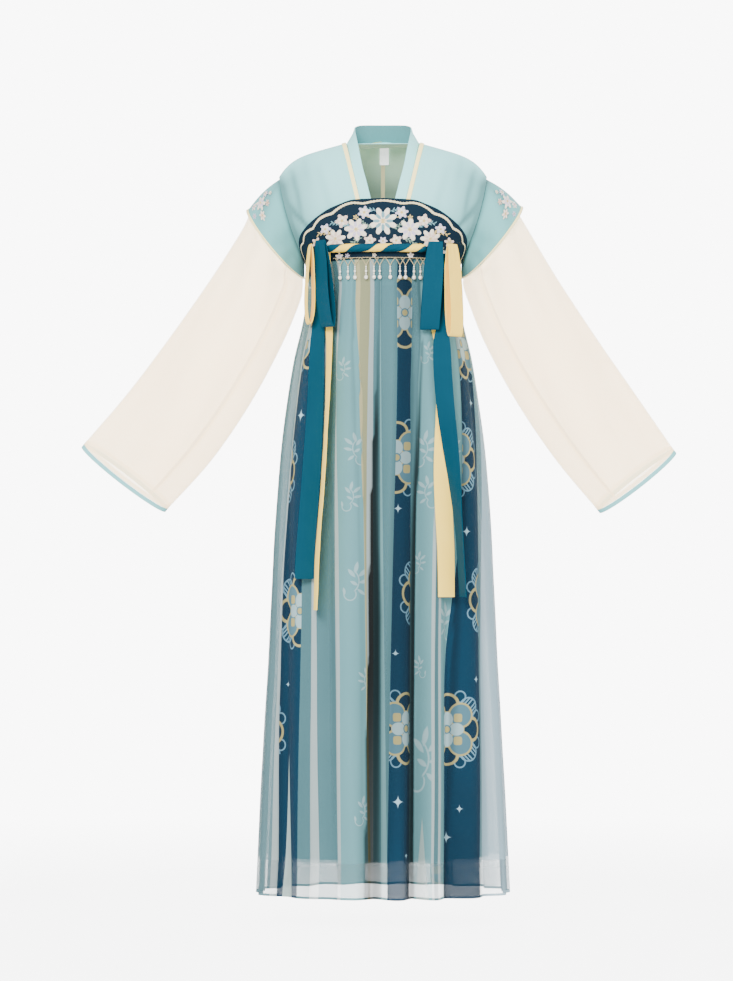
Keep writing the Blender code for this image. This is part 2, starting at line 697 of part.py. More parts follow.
def half_sleeve_row(hem, share, angles):
    """One ring of a half sleeve, from its tucked edge inside the armhole out to its hem."""
    middle = (armhole_point(0) + armhole_point(180)) / 2
    row = []
    for angle in angles:
        down = ring_share(angle)
        inner = armhole_point(angle)
        inward = (middle - inner).normalized()
        start = inner + inward * HALF_TUCK * (1 - down) + Vector((2.2 * down, 0, 0.5))
        bow = HALF_HEM_FRONT if angle <= 180 else HALF_HEM_BACK
        end = Vector((mix(hem.top_x, hem.low_x, down), 0, mix(hem.top_z, hem.low_z, down)))
        end += bow * abs(math.sin(math.radians(angle)))
        puff = HALF_PUFF * math.sin(math.pi * share) * (1 - 0.8 * down)
        row.append(mix(start, end, share) - inward * puff)
    return row


def make_half_sleeve(name, hem):
    angles = [360 * step / SLEEVE_SIDES for step in range(SLEEVE_SIDES)]
    rows = [half_sleeve_row(hem, share, angles) for share in HALF_STATIONS]
    return cloth_object(name, rows, TEAL_MESH, ring=True, side=hem.side)


def sleeve_ring(station, share, shift, angles):
    """One ring of a long sleeve. share is its place along the sleeve, shift moves it along the cuff's axis."""
    row = []
    for angle in angles:
        down = ring_share(angle)
        wave = math.sin(math.radians(angle))
        lead = CUFF_AXIS * (CUFF_FRONT_LEAD * share**2 * wave + shift)
        across = station.front if wave >= 0 else station.back
        bow = (HALF_HEM_FRONT if wave >= 0 else HALF_HEM_BACK) * abs(wave) * station.bow
        x = mix(station.top_x, station.low_x, down) + bow.x
        height = mix(station.top_z, station.low_z, down) + bow.z
        row.append(Vector((x, -across * wave, height)) + lead)
    return row


def sleeve_stations(table):
    """The table's rows with one more between each two."""
    points = [[Vector(row[:3]), Vector(row[3:])] for row in table]
    firsts = smooth_points([pair[0] for pair in points], 2)
    lasts = smooth_points([pair[1] for pair in points], 2)
    return [SleeveRing(*first, *last) for first, last in zip(firsts, lasts)]


def sleeve_head(hem, angles):
    """The ring that is sewn to the inside of the half sleeve."""
    row = half_sleeve_row(hem, SLEEVE_HEAD_SHARE, angles)
    middle = sum(row, Vector()) / len(row)
    return [point + (middle - point).normalized() * SLEEVE_HEAD_SINK for point in row]


def make_long_sleeve(side_name, table, side):
    angles = [360 * step / SLEEVE_SIDES for step in range(SLEEVE_SIDES)]
    stations = sleeve_stations(table)
    last = len(stations) - 1
    rows = [sleeve_head(HALF_SLEEVES["half_sleeve_" + side_name], angles)]
    rows += [sleeve_ring(station, place / last, 0.0, angles) for place, station in enumerate(stations)]
    cloth_object("long_sleeve_" + side_name, rows, ORGANZA, ring=True, side=side)
    cuff = [sleeve_ring(stations[-1], 1.0, shift, angles) for shift in (SEAM_GAP, CUFF_WIDTH)]
    cloth_object("cuff_binding_" + side_name, cuff, CUFF_BLUE, thickness=1.6, ring=True, side=side)


# Belt, ribbons and bead fringe
def band_front(x, height, lift):
    """A point in front of the chest band at x."""
    angle = math.degrees(math.asin(x / torso_width(height)))
    return front_surface(angle, height, BAND_LIFT + lift)


def make_belt_strand(name, phase, finish):
    """One of the two strands twisted round each other along the band."""
    start, end = BELT_ENDS
    path = []
    for step in range(BELT_STEPS + 1):
        x = mix(start, end, step / BELT_STEPS)
        turn = 2 * math.pi * (x - start) / BELT_PITCH + phase
        lift = BELT_LIFT + BELT_STRAND_RADIUS + BELT_TWIST_RADIUS * (1 + math.cos(turn))
        point = band_front(x, BELT_HEIGHT, lift)
        point.z += BELT_TWIST_RADIUS * math.sin(turn)
        path.append(point)
    return tube_object(name, path, BELT_STRAND_RADIUS, finish)


def make_loop(loop, finish):
    """A ribbon loop: a closed drop-shaped outline, as wide as the ribbon."""
    turn = math.radians(loop.turn)
    along = Vector((math.cos(turn), math.sin(turn), 0))
    apart = Vector((-math.sin(turn), math.cos(turn), 0))
    edges = ([], [])
    for step in range(LOOP_SIDES):
        angle = 2 * math.pi * step / LOOP_SIDES
        down = 0.5 - 0.5 * math.cos(angle)
        x = loop.x + loop.drift_x * down
        y = loop.y + loop.drift_y * down
        middle = Vector((x, y, loop.top - loop.length * down))
        middle += apart * (loop.gap / 2) * math.sin(angle) * (0.55 + 0.75 * down)
        half = RIBBON_WIDTH / 2 * (0.75 + 0.25 * min(1.0, down * 4))
        edges[0].append(middle - along * half)
        edges[1].append(middle + along * half)
    return cloth_object(loop.name, edges[::-1], finish, thickness=RIBBON_CLOTH, ring=True)


def skirt_front_depth(x, height):
    """How far forward the skirt's furthest fold could reach at x."""
    down = min(max((height - skirt_top(0)) / (SKIRT_HEM - skirt_top(0)), 0.0), 1.0)
    crest = max(fold.depth for fold in FRONT_FOLDS) * mix(FOLD_START, 1.0, down**FOLD_GROWTH)
    side = lookup(column(SKIRT_RINGS, "height", "side"), height) + crest
    depth = lookup(column(SKIRT_RINGS, "height", "front"), height) + crest
    return depth * math.sqrt(max(0.0, 1 - (x / side) ** 2))


def tail_rows(table):
    """Rows of a hanging ribbon, each with its left edge, middle and right edge."""
    points = smooth_points([Vector((row.height, row.x, row.turn)) for row in table], 2)
    sizes = smooth_points([Vector((row.width, row.clear, 0)) for row in table], 2)
    rows = []
    for (height, x, turn), (width, clear, _) in zip(points, sizes):
        along = Vector((math.cos(math.radians(turn)), -math.sin(math.radians(turn)), 0)) * width / 2
        reach = [
            skirt_front_depth(x + along.x * end, height) + along.y * end for end in (-1, -0.5, 0, 0.5, 1)
        ]
        middle = Vector((x, -max(reach) - clear, height))
        rows.append([middle - along, middle, middle + along])
    return rows


def make_tail(name, table, finish):
    return cloth_object(name, tail_rows(table)[::-1], finish, thickness=RIBBON_CLOTH)


def fringe_point(x, row):
    base = front_surface(math.degrees(math.asin(x / torso_width(-218))), -218, FRINGE_LIFT)
    return Vector((base.x, base.y - FRINGE_SWING * row.swing, row.height))


def make_fringe(name):
    """A comb: a narrow tape along the band's lower edge, with each strand's faces hanging from it."""
    places = [-FRINGE_HALF]
    for place in FRINGE_PLACES:
        places += [place - FRINGE_ROWS[0].half, place + FRINGE_ROWS[0].half]
    places.append(FRINGE_HALF)
    points, faces = [], []
    for row in FRINGE_ROWS[:FRINGE_TAPE_ROWS]:
        points += [fringe_point(x, row) for x in places]
    wide = len(places)
    for place in range(wide - 1):
        faces.append((place, wide + place, wide + place + 1, place + 1))
    for index, place in enumerate(FRINGE_PLACES):
        above = (wide + 2 * index + 1, wide + 2 * index + 2)
        for row in FRINGE_ROWS[FRINGE_TAPE_ROWS:]:
            below = (len(points), len(points) + 1)
            points += [fringe_point(place - row.half, row), fringe_point(place + row.half, row)]
            faces.append((above[0], below[0], below[1], above[1]))
            above = below
    mesh = bpy.data.meshes.new(name)
    mesh.from_pydata([point * MM for point in points], [], faces)
    mesh.materials.append(material_of(PEARL))
    obj = bpy.data.objects.new(name, mesh)
    wall = obj.modifiers.new("beads", "SOLIDIFY")
    wall.thickness = CLOTH * MM
    wall.offset = -1.0
    bpy.data.collections["hanfu_set"].objects.link(obj)
    return obj


def main():
    clear_scene()
    collection = bpy.data.collections.new("hanfu_set")
    bpy.context.scene.collection.children.link(collection)
    make_front("bodice_front_left", 1)
    make_front("bodice_front_right", -1)
    make_back("bodice_back")
    make_collar("collar_band")
    make_piping("collar_piping")
    make_back_tape("centre_back_tape")
    make_label("neck_label")
    for name, hem in HALF_SLEEVES.items():
        make_half_sleeve(name, hem)
    make_long_sleeve("left", LEFT_SLEEVE, 1)
    make_long_sleeve("right", RIGHT_SLEEVE, -1)
    make_band("chest_band_front", -90, BAND_FRONT_STEPS)
    make_band("chest_band_back", 90, BAND_BACK_STEPS)
    make_skirt_half("skirt_front", FRONT_FOLDS, FRONT_FOLD_STEPS, -SEAM_GAP / 2)
    make_skirt_half("skirt_back", BACK_FOLDS, BACK_FOLD_STEPS, SEAM_GAP / 2)
    make_lining("skirt_lining")
    make_belt_strand("belt_strand_teal", 0.0, DEEP_TEAL)
    make_belt_strand("belt_strand_cream", math.pi, BUTTER)
    for loop in LOOPS:
        make_loop(loop, DEEP_TEAL if loop.name.startswith("teal") else BUTTER)
    for name, table in TAILS.items():
        make_tail(name, table, DEEP_TEAL if name.startswith("teal") else BUTTER)
    make_fringe("bead_fringe")


main()
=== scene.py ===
"""Looks of a chest-high skirt and short-jacket set, filled out as if worn, with nobody inside it.

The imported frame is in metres, +Z is up and the front faces -Y. The pattern's own sizes below are in
millimetres, as they were drafted, and MM turns them into metres. Left and right are the wearer's, so the
left side is at +X. Angles go round the body from the front, 0, to the left side, 90, and the back, 180.
"""

import logging
import math
from collections.abc import Callable, Sequence
from dataclasses import dataclass, field, replace
from enum import Enum
from itertools import accumulate

import bpy
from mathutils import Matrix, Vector
from mathutils.bvhtree import BVHTree

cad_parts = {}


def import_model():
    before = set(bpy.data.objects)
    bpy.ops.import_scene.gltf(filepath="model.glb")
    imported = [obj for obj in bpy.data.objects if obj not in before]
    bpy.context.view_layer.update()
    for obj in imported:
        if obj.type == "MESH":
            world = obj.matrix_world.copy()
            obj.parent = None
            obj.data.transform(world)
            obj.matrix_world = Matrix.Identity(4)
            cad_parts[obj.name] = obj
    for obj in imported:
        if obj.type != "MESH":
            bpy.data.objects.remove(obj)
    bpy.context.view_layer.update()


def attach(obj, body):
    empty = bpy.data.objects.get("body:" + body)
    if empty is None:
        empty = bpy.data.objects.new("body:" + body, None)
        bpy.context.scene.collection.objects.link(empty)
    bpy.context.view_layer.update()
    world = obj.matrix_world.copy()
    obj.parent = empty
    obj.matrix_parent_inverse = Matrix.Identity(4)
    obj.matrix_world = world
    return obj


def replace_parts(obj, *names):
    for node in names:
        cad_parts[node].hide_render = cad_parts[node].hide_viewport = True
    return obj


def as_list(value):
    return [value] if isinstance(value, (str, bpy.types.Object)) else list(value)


MM = 0.001
ROOT = "root"
LOG = logging.getLogger("dress_set")
SIDES = {"left": 1, "right": -1}

Rows = list[list[Vector]]
Shares = list[list[float]]
Colour = tuple[float, float, float]
Place = Callable[[float, float, float], Vector]


def srgb(red: int, green: int, blue: int) -> Colour:
    """Turns a given colour into the linear values that a shader takes.

    Args:
        red: From 0 to 255.
        green: The same.
        blue: The same.

    Returns:
        The colour.
    """
    def linear(channel: int) -> float:
        """One channel's linear value."""
        share = channel / 255
        return share / 12.92 if share <= 0.04045 else ((share + 0.055) / 1.055) ** 2.4

    return (linear(red), linear(green), linear(blue))


def mix(first: float | Vector, second: float | Vector, share: float) -> float | Vector:
    """Goes from first to second, which are both numbers or both vectors."""
    return first + (second - first) * share


def held(value: float) -> float:
    """The value, held between 0 and 1."""
    return min(max(value, 0.0), 1.0)


def sided(point: Vector, side: int) -> Vector:
    """A point as it is drawn, at the left, or its mirror image where side is -1."""
    return Vector((point.x * side, point.y, point.z))


def mirrored(rows: Rows) -> Rows:
    """Carries rows on past the last one, which lies on the middle plane, with their mirror images."""
    return rows + [[sided(point, -1) for point in row] for row in rows[-2::-1]]


def lengths(points: Sequence[Vector]) -> list[float]:
    """How far along a line of points each of them lies."""
    steps = [(after - before).length for before, after in zip(points, points[1:])]
    return list(accumulate(steps, initial=0.0))


def quads(high: int, wide: int, ring: bool) -> list[tuple[int, ...]]:
    """The faces of a grid with this many rows and columns, by the numbers of their points."""
    return [
        (r * wide + c, r * wide + (c + 1) % wide, (r + 1) * wide + (c + 1) % wide, (r + 1) * wide + c)
        for r in range(high - 1) for c in range(wide if ring else wide - 1)
    ]


@dataclass(frozen=True)
class Curve:
    """A smooth reading of (place, value) pairs that never overshoots them.

    Attributes:
        pairs: The pairs, sorted by place.
    """

    pairs: tuple[tuple[float, float], ...]

    def at(self, place: float) -> float:
        """Reads the value at a place.

        Args:
            place: Where to read. Beyond either end the end's value holds.

        Returns:
            The value there.
        """
        pairs = self.pairs
        if place <= pairs[0][0]:
            return pairs[0][1]
        if place >= pairs[-1][0]:
            return pairs[-1][1]
        index = 0
        while place > pairs[index + 1][0]:
            index += 1
        slopes = {}
        for near in range(max(index - 1, 0), min(index + 2, len(pairs) - 1)):
            start, end = pairs[near], pairs[near + 1]
            slopes[near] = (end[1] - start[1]) / (end[0] - start[0])
        here = slopes[index]
        first = self._bend(slopes.get(index - 1, here), here)
        last = self._bend(here, slopes.get(index + 1, here))
        start, end = pairs[index], pairs[index + 1]
        width = end[0] - start[0]
        share = (place - start[0]) / width
        square, cube = share * share, share * share * share
        return (
            (2 * cube - 3 * square + 1) * start[1]
            + (cube - 2 * square + share) * width * first
            + (3 * square - 2 * cube) * end[1]
            + (cube - square) * width * last
        )

    @staticmethod
    def _bend(left: float, right: float) -> float:
        """Slope at a pair that lies between two slopes."""
        return 2 * left * right / (left + right) if left * right > 0 else 0.0


def curve_of(rows: Sequence, place: str, value: str) -> Curve:
    """Makes a curve from two named columns of a table.

    Args:
        rows: The table's rows.
        place: Name of the column that says where.
        value: Name of the column that is read.

    Returns:
        The curve.
    """
    return Curve(tuple(sorted((getattr(row, place), getattr(row, value)) for row in rows)))


def even_shares(steps: int) -> list[float]:
    """Even shares from 0 to 1."""
    return [step / steps for step in range(steps + 1)]


def through(points: Sequence[Vector], steps: int) -> list[Vector]:
    """Draws a smooth curve through points.

    Args:
        points: The points to pass.
        steps: How many steps to take between each two.

    Returns:
        The curve's points.
    """
    found = []
    for index in range(len(points) - 1):
        before = points[max(index - 1, 0)]
        start, end = points[index], points[index + 1]
        after = points[min(index + 2, len(points) - 1)]
        for step in range(steps):
            share = step / steps
            found.append(
                0.5 * (2 * start + (end - before) * share
                       + (2 * before - 5 * start + 4 * end - after) * share**2
                       + (3 * start - before - 3 * end + after) * share**3)
            )
    return found + [points[-1]]


def noise(place: float, seed: float) -> float:
    """A smooth repeatable wander between -1 and 1 along one number."""
    return (
        0.5 * math.sin(place * 1.7 + seed * 12.9)
        + 0.3 * math.sin(place * 3.9 + seed * 7.1)
        + 0.2 * math.sin(place * 8.3 + seed * 3.7)
    )


# Shaders
class Wire:
    """A shader socket that stands in Python expressions, each of which adds its Math node.

    Args:
        bench: The bench whose tree the socket is in.
        socket: The output socket.
    """

    def __init__(self, bench: "Bench", socket: bpy.types.NodeSocket) -> None:
        self.bench = bench
        self.socket = socket

    def __add__(self, other: "Wire | float") -> "Wire":
        """Sum."""
        return self.bench.math("ADD", self, other)

    def __sub__(self, other: "Wire | float") -> "Wire":
        """Difference."""
        return self.bench.math("SUBTRACT", self, other)

    def __rsub__(self, other: float) -> "Wire":
        """Difference from a number."""
        return self.bench.math("SUBTRACT", other, self)

    def __mul__(self, other: "Wire | float") -> "Wire":
        """Product."""
        return self.bench.math("MULTIPLY", self, other)

    def __truediv__(self, other: "Wire | float") -> "Wire":
        """Quotient."""
        return self.bench.math("DIVIDE", self, other)

    def __abs__(self) -> "Wire":
        """Size without its sign."""
        return self.bench.math("ABSOLUTE", self)

    def __or__(self, other: "Wire | float") -> "Wire":
        """The larger of two masks."""
        return self.bench.math("MAXIMUM", self, other)

    def __and__(self, other: "Wire | float") -> "Wire":
        """The smaller of two masks."""
        return self.bench.math("MINIMUM", self, other)


class Bench:
    """The node tree of one material, with the Principled shader that everything feeds.

    Args:
        name: The material's name.
    """

    def __init__(self, name: str) -> None:
        self.material = bpy.data.materials.new(name)
        self.material.use_nodes = True
        self.tree = self.material.node_tree
        self.shader = self.tree.nodes["Principled BSDF"]

    def node(self, kind: str, settings: dict | None = None, inputs: dict | None = None) -> bpy.types.Node:
        """Adds a node.

        Args:
            kind: The node's type, without the ShaderNode at its start.
            settings: Its own settings. stops holds a ramp's (place, colour) pairs.
            inputs: A wire, number or colour for each named or numbered socket.

        Returns:
            The node.
        """
        made = self.tree.nodes.new("ShaderNode" + kind)
        for key, value in (settings or {}).items():
            if key == "stops":
                ramp = made.color_ramp.elements
                while len(ramp) < len(value):
                    ramp.new(0.5)
                for element, (place, colour) in zip(ramp, value):
                    element.position = place
                    element.color = (*colour, 1.0)
            else:
                setattr(made, key, value)
        for key, value in (inputs or {}).items():
            self.feed(made.inputs[key], value)
        return made

    def feed(self, socket: bpy.types.NodeSocket, value: "Wire | float | Sequence[float]") -> None:
        """Links a wire to an input, or sets a number or colour on it.

        Args:
            socket: The input.
            value: What it gets.
        """
        if isinstance(value, Wire):
            self.tree.links.new(value.socket, socket)
        elif isinstance(value, tuple) and socket.type == "RGBA":
            socket.default_value = (*value[:3], 1.0)
        else:
            socket.default_value = value

    def math(self, operation: str, *values: "Wire | float") -> Wire:
        """Adds a Math node over wires and numbers."""
        made = self.node("Math", {"operation": operation}, dict(enumerate(values)))
        return Wire(self, made.outputs[0])

    def blend(self, share: "Wire | float", first: "Wire | Colour", second: "Wire | Colour") -> Wire:
        """Mixes two colours.

        Args:
            share: 0 for the first, 1 for the second.
            first: A colour or a wire of one.
            second: The same.

        Returns:
            The mixed colour.
        """
        made = self.node("Mix", {"data_type": "RGBA"})
        self.feed(made.inputs[0], share)
        self.feed(made.inputs[6], first)
        self.feed(made.inputs[7], second)
        return Wire(self, made.outputs[2])

    def pair(self, uv_map: str) -> tuple[Wire, Wire]:
        """Reads both numbers of a UV map.

        Args:
            uv_map: Its name.

        Returns:
            The two numbers.
        """
        source = self.node("UVMap", {"uv_map": uv_map})
        parts = self.node("SeparateXYZ", inputs={0: Wire(self, source.outputs[0])})
        return Wire(self, parts.outputs[0]), Wire(self, parts.outputs[1])

    def object_place(self) -> Wire:
        """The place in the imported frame, in metres."""
        return Wire(self, self.node("TexCoord").outputs["Object"])

    def axes(self) -> list[Wire]:
        """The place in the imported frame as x, y and height."""
        parts = self.node("SeparateXYZ", inputs={0: self.object_place()})
        return [Wire(self, output) for output in parts.outputs]

    def dress(self, inputs: "dict[str, Wire | float | Colour]") -> None:
        """Feeds the named inputs of the shader."""
        for name, value in inputs.items():
            self.feed(self.shader.inputs[name], value)

    def clouds(self, scale: float, detail: float = 3.0, place: Wire | None = None) -> Wire:
        """Soft noise from 0 to 1.

        Args:
            scale: How many clouds to a metre.
            detail: How many finer layers.
            place: What it reads, or the place in the frame.

        Returns:
            The noise.
        """
        made = self.node("TexNoise", inputs={"Vector": place or self.object_place(), "Scale": scale,
                                             "Detail": detail, "Roughness": 0.55})
        return Wire(self, made.outputs[0])

    def below(self, value: Wire, edge: float, soft: float) -> Wire:
        """A mask that is 1 where value is below an edge, with a soft rim.

        Args:
            value: What is measured.
            edge: Where the mask ends.
            soft: Width of the rim.

        Returns:
            The mask.
        """
        made = self.node("Math", {"operation": "MULTIPLY_ADD", "use_clamp": True})
        self.feed(made.inputs[0], edge - value)
        made.inputs[1].default_value = 1 / soft
        made.inputs[2].default_value = 0.5
        return Wire(self, made.outputs[0])

    def wave(self, value: Wire, pitch: float) -> Wire:
        """A sine from 0 to 1 with this pitch."""
        return self.math("SINE", value * (2 * math.pi / pitch)) * 0.5 + 0.5

    def bump(self, height: Wire, distance: float, strength: float = 1.0) -> None:
        """Feeds a height to the shader's normal.

        Args:
            height: The height, 0 to 1.
            distance: Its real size in metres.
            strength: Share of it that shows.
        """
        made = self.node("Bump", inputs={"Height": height, "Distance": distance, "Strength": strength})
        self.feed(self.shader.inputs["Normal"], Wire(self, made.outputs[0]))


class Weave(Enum):
    """How a cloth is woven, as its bump shows it: thread pitch and depth in metres."""

    PLAIN = (0.0011, 0.00010)
    CREPE = (0.0016, 0.00016)
    SHEER = (0.0009, 0.00005)
    SATIN = (0.0007, 0.00004)


class Motif(Enum):
    """What is printed in a stripe round a mark."""

    NONE = "plain"
    ROSETTE = "rosette"
    STAR = "star"
    SPRIG = "sprig"
    WEDGE = "wedge"


@dataclass(frozen=True)
class ClothFinish:
    """A plain or printed cloth.

    Attributes:
        name: The material's name.
        colour: Its colour in the light.
        shade: Its colour in the mottled parts, and the colour that its painted shade goes towards.
        weave: How it is woven.
        roughness: Of its surface.
        alpha: How much one face of the wall covers, where 1 is opaque.
        sheen: Strength of the soft light at its edges.
        hem: Height of the top of its rolled hem in metres, where it has one.
        glow: Painted glow: light of its own colour that it gives off, standing in for light that falls on it
            and comes through it.
        seams: Places of its seams round a sleeve, as shares of the Motif map.
        fold: How much of its shade colour is left where its painted fold shade is darkest.
        gloss: Strength of its plain reflection.
        dim: Height in metres below which it takes painted shade, as less light reaches it there, where there
            is one.
    """

    name: str
    colour: Colour
    shade: Colour
    weave: Weave = Weave.PLAIN
    roughness: float = 0.8
    alpha: float = 1.0
    sheen: float = 0.15
    hem: float | None = None
    glow: float = 0.0
    seams: tuple[float, ...] = ()
    fold: float = 0.3
    gloss: float = 0.25
    dim: float | None = None

    def material(self, motif: Motif = Motif.NONE) -> bpy.types.Material:
        """Makes the material, or finds the one already made.

        Args:
            motif: What is printed on it.

        Returns:
            The material.
        """
        name = self.name if motif is Motif.NONE else f"{self.name} {motif.value}"
        found = bpy.data.materials.get(name)
        if found:
            return found
        bench = Bench(name)
        across, along = bench.pair("Cloth")
        tint = bench.blend(bench.clouds(MOTTLE_SCALE), self.colour, self.shade)
        tint = bench.blend(bench.clouds(GRAIN_SCALE, 2.0) * GRAIN_SHARE, tint, self.shade)
        if motif is not Motif.NONE:
            tint = PRINTS[motif](bench, tint)
        if self.seams:
            tint = bench.blend(self.doubled(bench) * SEAM_SHARE, tint, SEAM_TINT)
        sunk_and_shade = bench.pair("Fold")[0]
        # Painted shade: darker towards DIM_TINT below the dim height.
        if self.dim is not None:
            dimmed = bench.below(bench.axes()[2], self.dim, DIM_REACH)
            tint = bench.blend(dimmed * DIM_SHARE, tint, DIM_TINT)
        # Painted shade: the Fold map says how much each place takes, mostly in its folds, and the colour goes
        # towards shade times fold there.
        tint = bench.blend(sunk_and_shade, tint, tuple(channel * self.fold for channel in self.shade))
        pitch, depth = self.weave.value
        threads = bench.wave(across, pitch) * bench.wave(along, pitch)
        slub = bench.clouds(SLUB_SCALE, 2.0)
        bench.bump(threads * THREAD_SHARE + slub * (1 - THREAD_SHARE), depth)
        bench.dress({"Base Color": tint, "Roughness": self.roughness, "Sheen Weight": self.sheen,
                     "Sheen Roughness": 0.5, "Specular IOR Level": self.gloss})
        if self.hem is not None:
            bench.dress({"Alpha": self.hemmed(bench, sunk_and_shade)})
        elif self.seams:
            bench.dress({"Alpha": self.doubled(bench) * (1 - self.alpha) * DOUBLED_COVER + self.alpha})
        # Painted glow: the cloth gives off light of its own colour.
        if self.glow:
            bench.dress({"Emission Color": self.colour, "Emission Strength": self.glow})
        return bench.material

    def hemmed(self, bench: Bench, sunk_and_shade: Wire) -> Wire:
        """How much a see-through cloth covers: more where its painted shade lies, as doubled cloth in its
        folds would, more in its hem, and less below the lining.

        Args:
            bench: The material's bench.
            sunk_and_shade: How much painted shade a place takes, mostly in a fold.

        Returns:
            The share that it covers.
        """
        height = bench.axes()[2]
        rolled = bench.below(height, self.hem, 0.0006)
        cover = sunk_and_shade * ((1 - self.alpha) * FOLD_COVER) + self.alpha
        loss = UNLINED_LOSS * (LEAST_LOSS_ALPHA - self.alpha)
        unlined = bench.below(height, LINING_FOOT, 0.003) * loss
        return (cover * (1 - unlined)) | (rolled * HEM_COVER)

    def doubled(self, bench: Bench) -> Wire:
        """Where a sleeve's cloth is doubled: beside its seams and in the turnings at both ends.

        Args:
            bench: The material's bench.

        Returns:
            1 where it is doubled.
        """
        turn, down = bench.pair("Motif")
        mask = bench.below(down, 0.012, 0.004) | bench.below(down * -1, -0.985, 0.004)
        for seam in self.seams:
            mask = mask | bench.below(abs(turn - seam), 0.0045, 0.002)
        return mask


def rosette_print(bench: Bench, ground: Wire) -> Wire:
    """Draws a four-fold round flower medallion, one wide in the Motif map's units.

    Args:
        bench: The material's bench.
        ground: The cloth's own colour.

    Returns:
        The printed colour.
    """
    u, v = bench.pair("Motif")
    across, up = abs(u), abs(v)
    far, near = across | up, across & up
    diagonal = (far + near) * math.sqrt(0.5)
    off = (far - near) * math.sqrt(0.5)
    soft = 0.02
    middle_radius, eye_radius = 0.125, 0.085

    def round_spot(x: Wire, y: Wire, centre: float, radius: float, flat: float = 1.0) -> Wire:
        """Distance from the rim of an oval spot, below 0 inside it."""
        return bench.math("SQRT", (x - centre) * (x - centre) + (y / flat) * (y / flat)) - radius

    def fill(tint: Wire, rim: Wire, colour: Colour) -> Wire:
        """Paints inside a rim."""
        return bench.blend(bench.below(rim, 0.0, soft), tint, colour)

    def line(tint: Wire, rim: Wire, width: float, colour: Colour) -> Wire:
        """Paints a line along a rim."""
        return bench.blend(bench.below(abs(rim), width, soft), tint, colour)

    tint = ground
    leaf = round_spot(diagonal, off - 0.37, 0.88, 0.15)
    tint = line(tint, leaf, 0.018, PRINT_PALE)
    fan = round_spot(diagonal, off, 0.86, 0.25)
    ribs = bench.below(bench.wave(off, 0.085), 0.45, 0.3)
    tint = bench.blend(bench.below(fan, 0.0, soft) * ribs, tint, PRINT_PALE)
    tint = line(tint, fan, 0.018, PRINT_PALE)
    petal = round_spot(far, near, 0.70, 0.25, 1.2)
    tint = fill(tint, petal, PRINT_NAVY)
    tint = line(tint, petal, 0.034, PRINT_CREAM)
    lobe = round_spot(diagonal, off, 0.54, 0.32)
    tint = fill(tint, lobe, PRINT_BLUE)
    tint = line(tint, lobe, 0.026, PRINT_CREAM)
    wide, high = (far - 0.31) * (far - 0.31), (near - 0.31) * (near - 0.31)
    patch = bench.math("SQRT", bench.math("SQRT", wide * wide + high * high)) - 0.115
    tint = fill(tint, patch, PRINT_CREAM)
    tongue = round_spot(far, near, 0.27, 0.2, 0.85)
    tint = fill(tint, tongue, PRINT_WHITE)
    middle = bench.math("SQRT", u * u + v * v)
    tint = bench.blend(bench.below(middle, middle_radius, soft), tint, PRINT_BLUE)
    return bench.blend(bench.below(middle, eye_radius, soft), tint, PRINT_CREAM)


def star_print(bench: Bench, ground: Wire) -> Wire:
    """Draws a four-pointed star.

    Args:
        bench: The material's bench.
        ground: The cloth's own colour.

    Returns:
        The printed colour.
    """
    u, v = bench.pair("Motif")
    reach = bench.math("SQRT", abs(u)) + bench.math("SQRT", abs(v) * 0.9)
    star = bench.below(reach, 1.02, 0.12)
    return bench.blend(star, ground, STAR_PALE)


def sprig_print(bench: Bench, ground: Wire) -> Wire:
    """Draws a small leafy sprig with a curled stem, about two wide.

    Args:
        bench: The material's bench.
        ground: The cloth's own colour.

    Returns:
        The printed colour.
    """
    u, v = bench.pair("Motif")
    mask = None
    for leaf in SPRIG_LEAVES:
        turn = math.radians(leaf.turn)
        along = (u - leaf.x) * math.cos(turn) + (v - leaf.y) * math.sin(turn)
        beside = (v - leaf.y) * math.cos(turn) - (u - leaf.x) * math.sin(turn)
        taper = 1 - along * along * (1 / leaf.length**2)
        blade = bench.below(abs(beside) - taper * leaf.width, 0.0, 0.05)
        mask = blade if mask is None else mask | blade
    ring = abs(bench.math("SQRT", (u + 0.8) * (u + 0.8) + (v - 0.1) * (v - 0.1)) - 0.85)
    curl = bench.below(u * -1, 0.3, 0.1) * bench.below(abs(v), 1.2, 0.1)
    mask = mask | bench.below(ring, 0.04, 0.04) * curl
    hook = abs(bench.math("SQRT", (u + 0.6) * (u + 0.6) + (v + 0.8) * (v + 0.8)) - 0.42)
    mask = mask | bench.below(hook, 0.04, 0.04) * bench.below(v, -0.62, 0.1)
    return bench.blend(mask * 0.9, ground, PRINT_WHITE)


def wedge_print(bench: Bench, ground: Wire) -> Wire:
    """Draws a pale wedge that opens from its tip down to the hem.

    Args:
        bench: The material's bench.
        ground: The cloth's own colour.

    Returns:
        The printed colour.
    """
    u, v = bench.pair("Motif")
    inside = bench.below(abs(u) + v * 0.085, 0.0, 0.02)
    return bench.blend(inside, ground, PRINT_WEDGE)


@dataclass(frozen=True)
class Leaf:
    """A blade of the printed sprig: its middle, turn in degrees, half length and half width."""

    x: float
    y: float
    turn: float
    length: float
    width: float


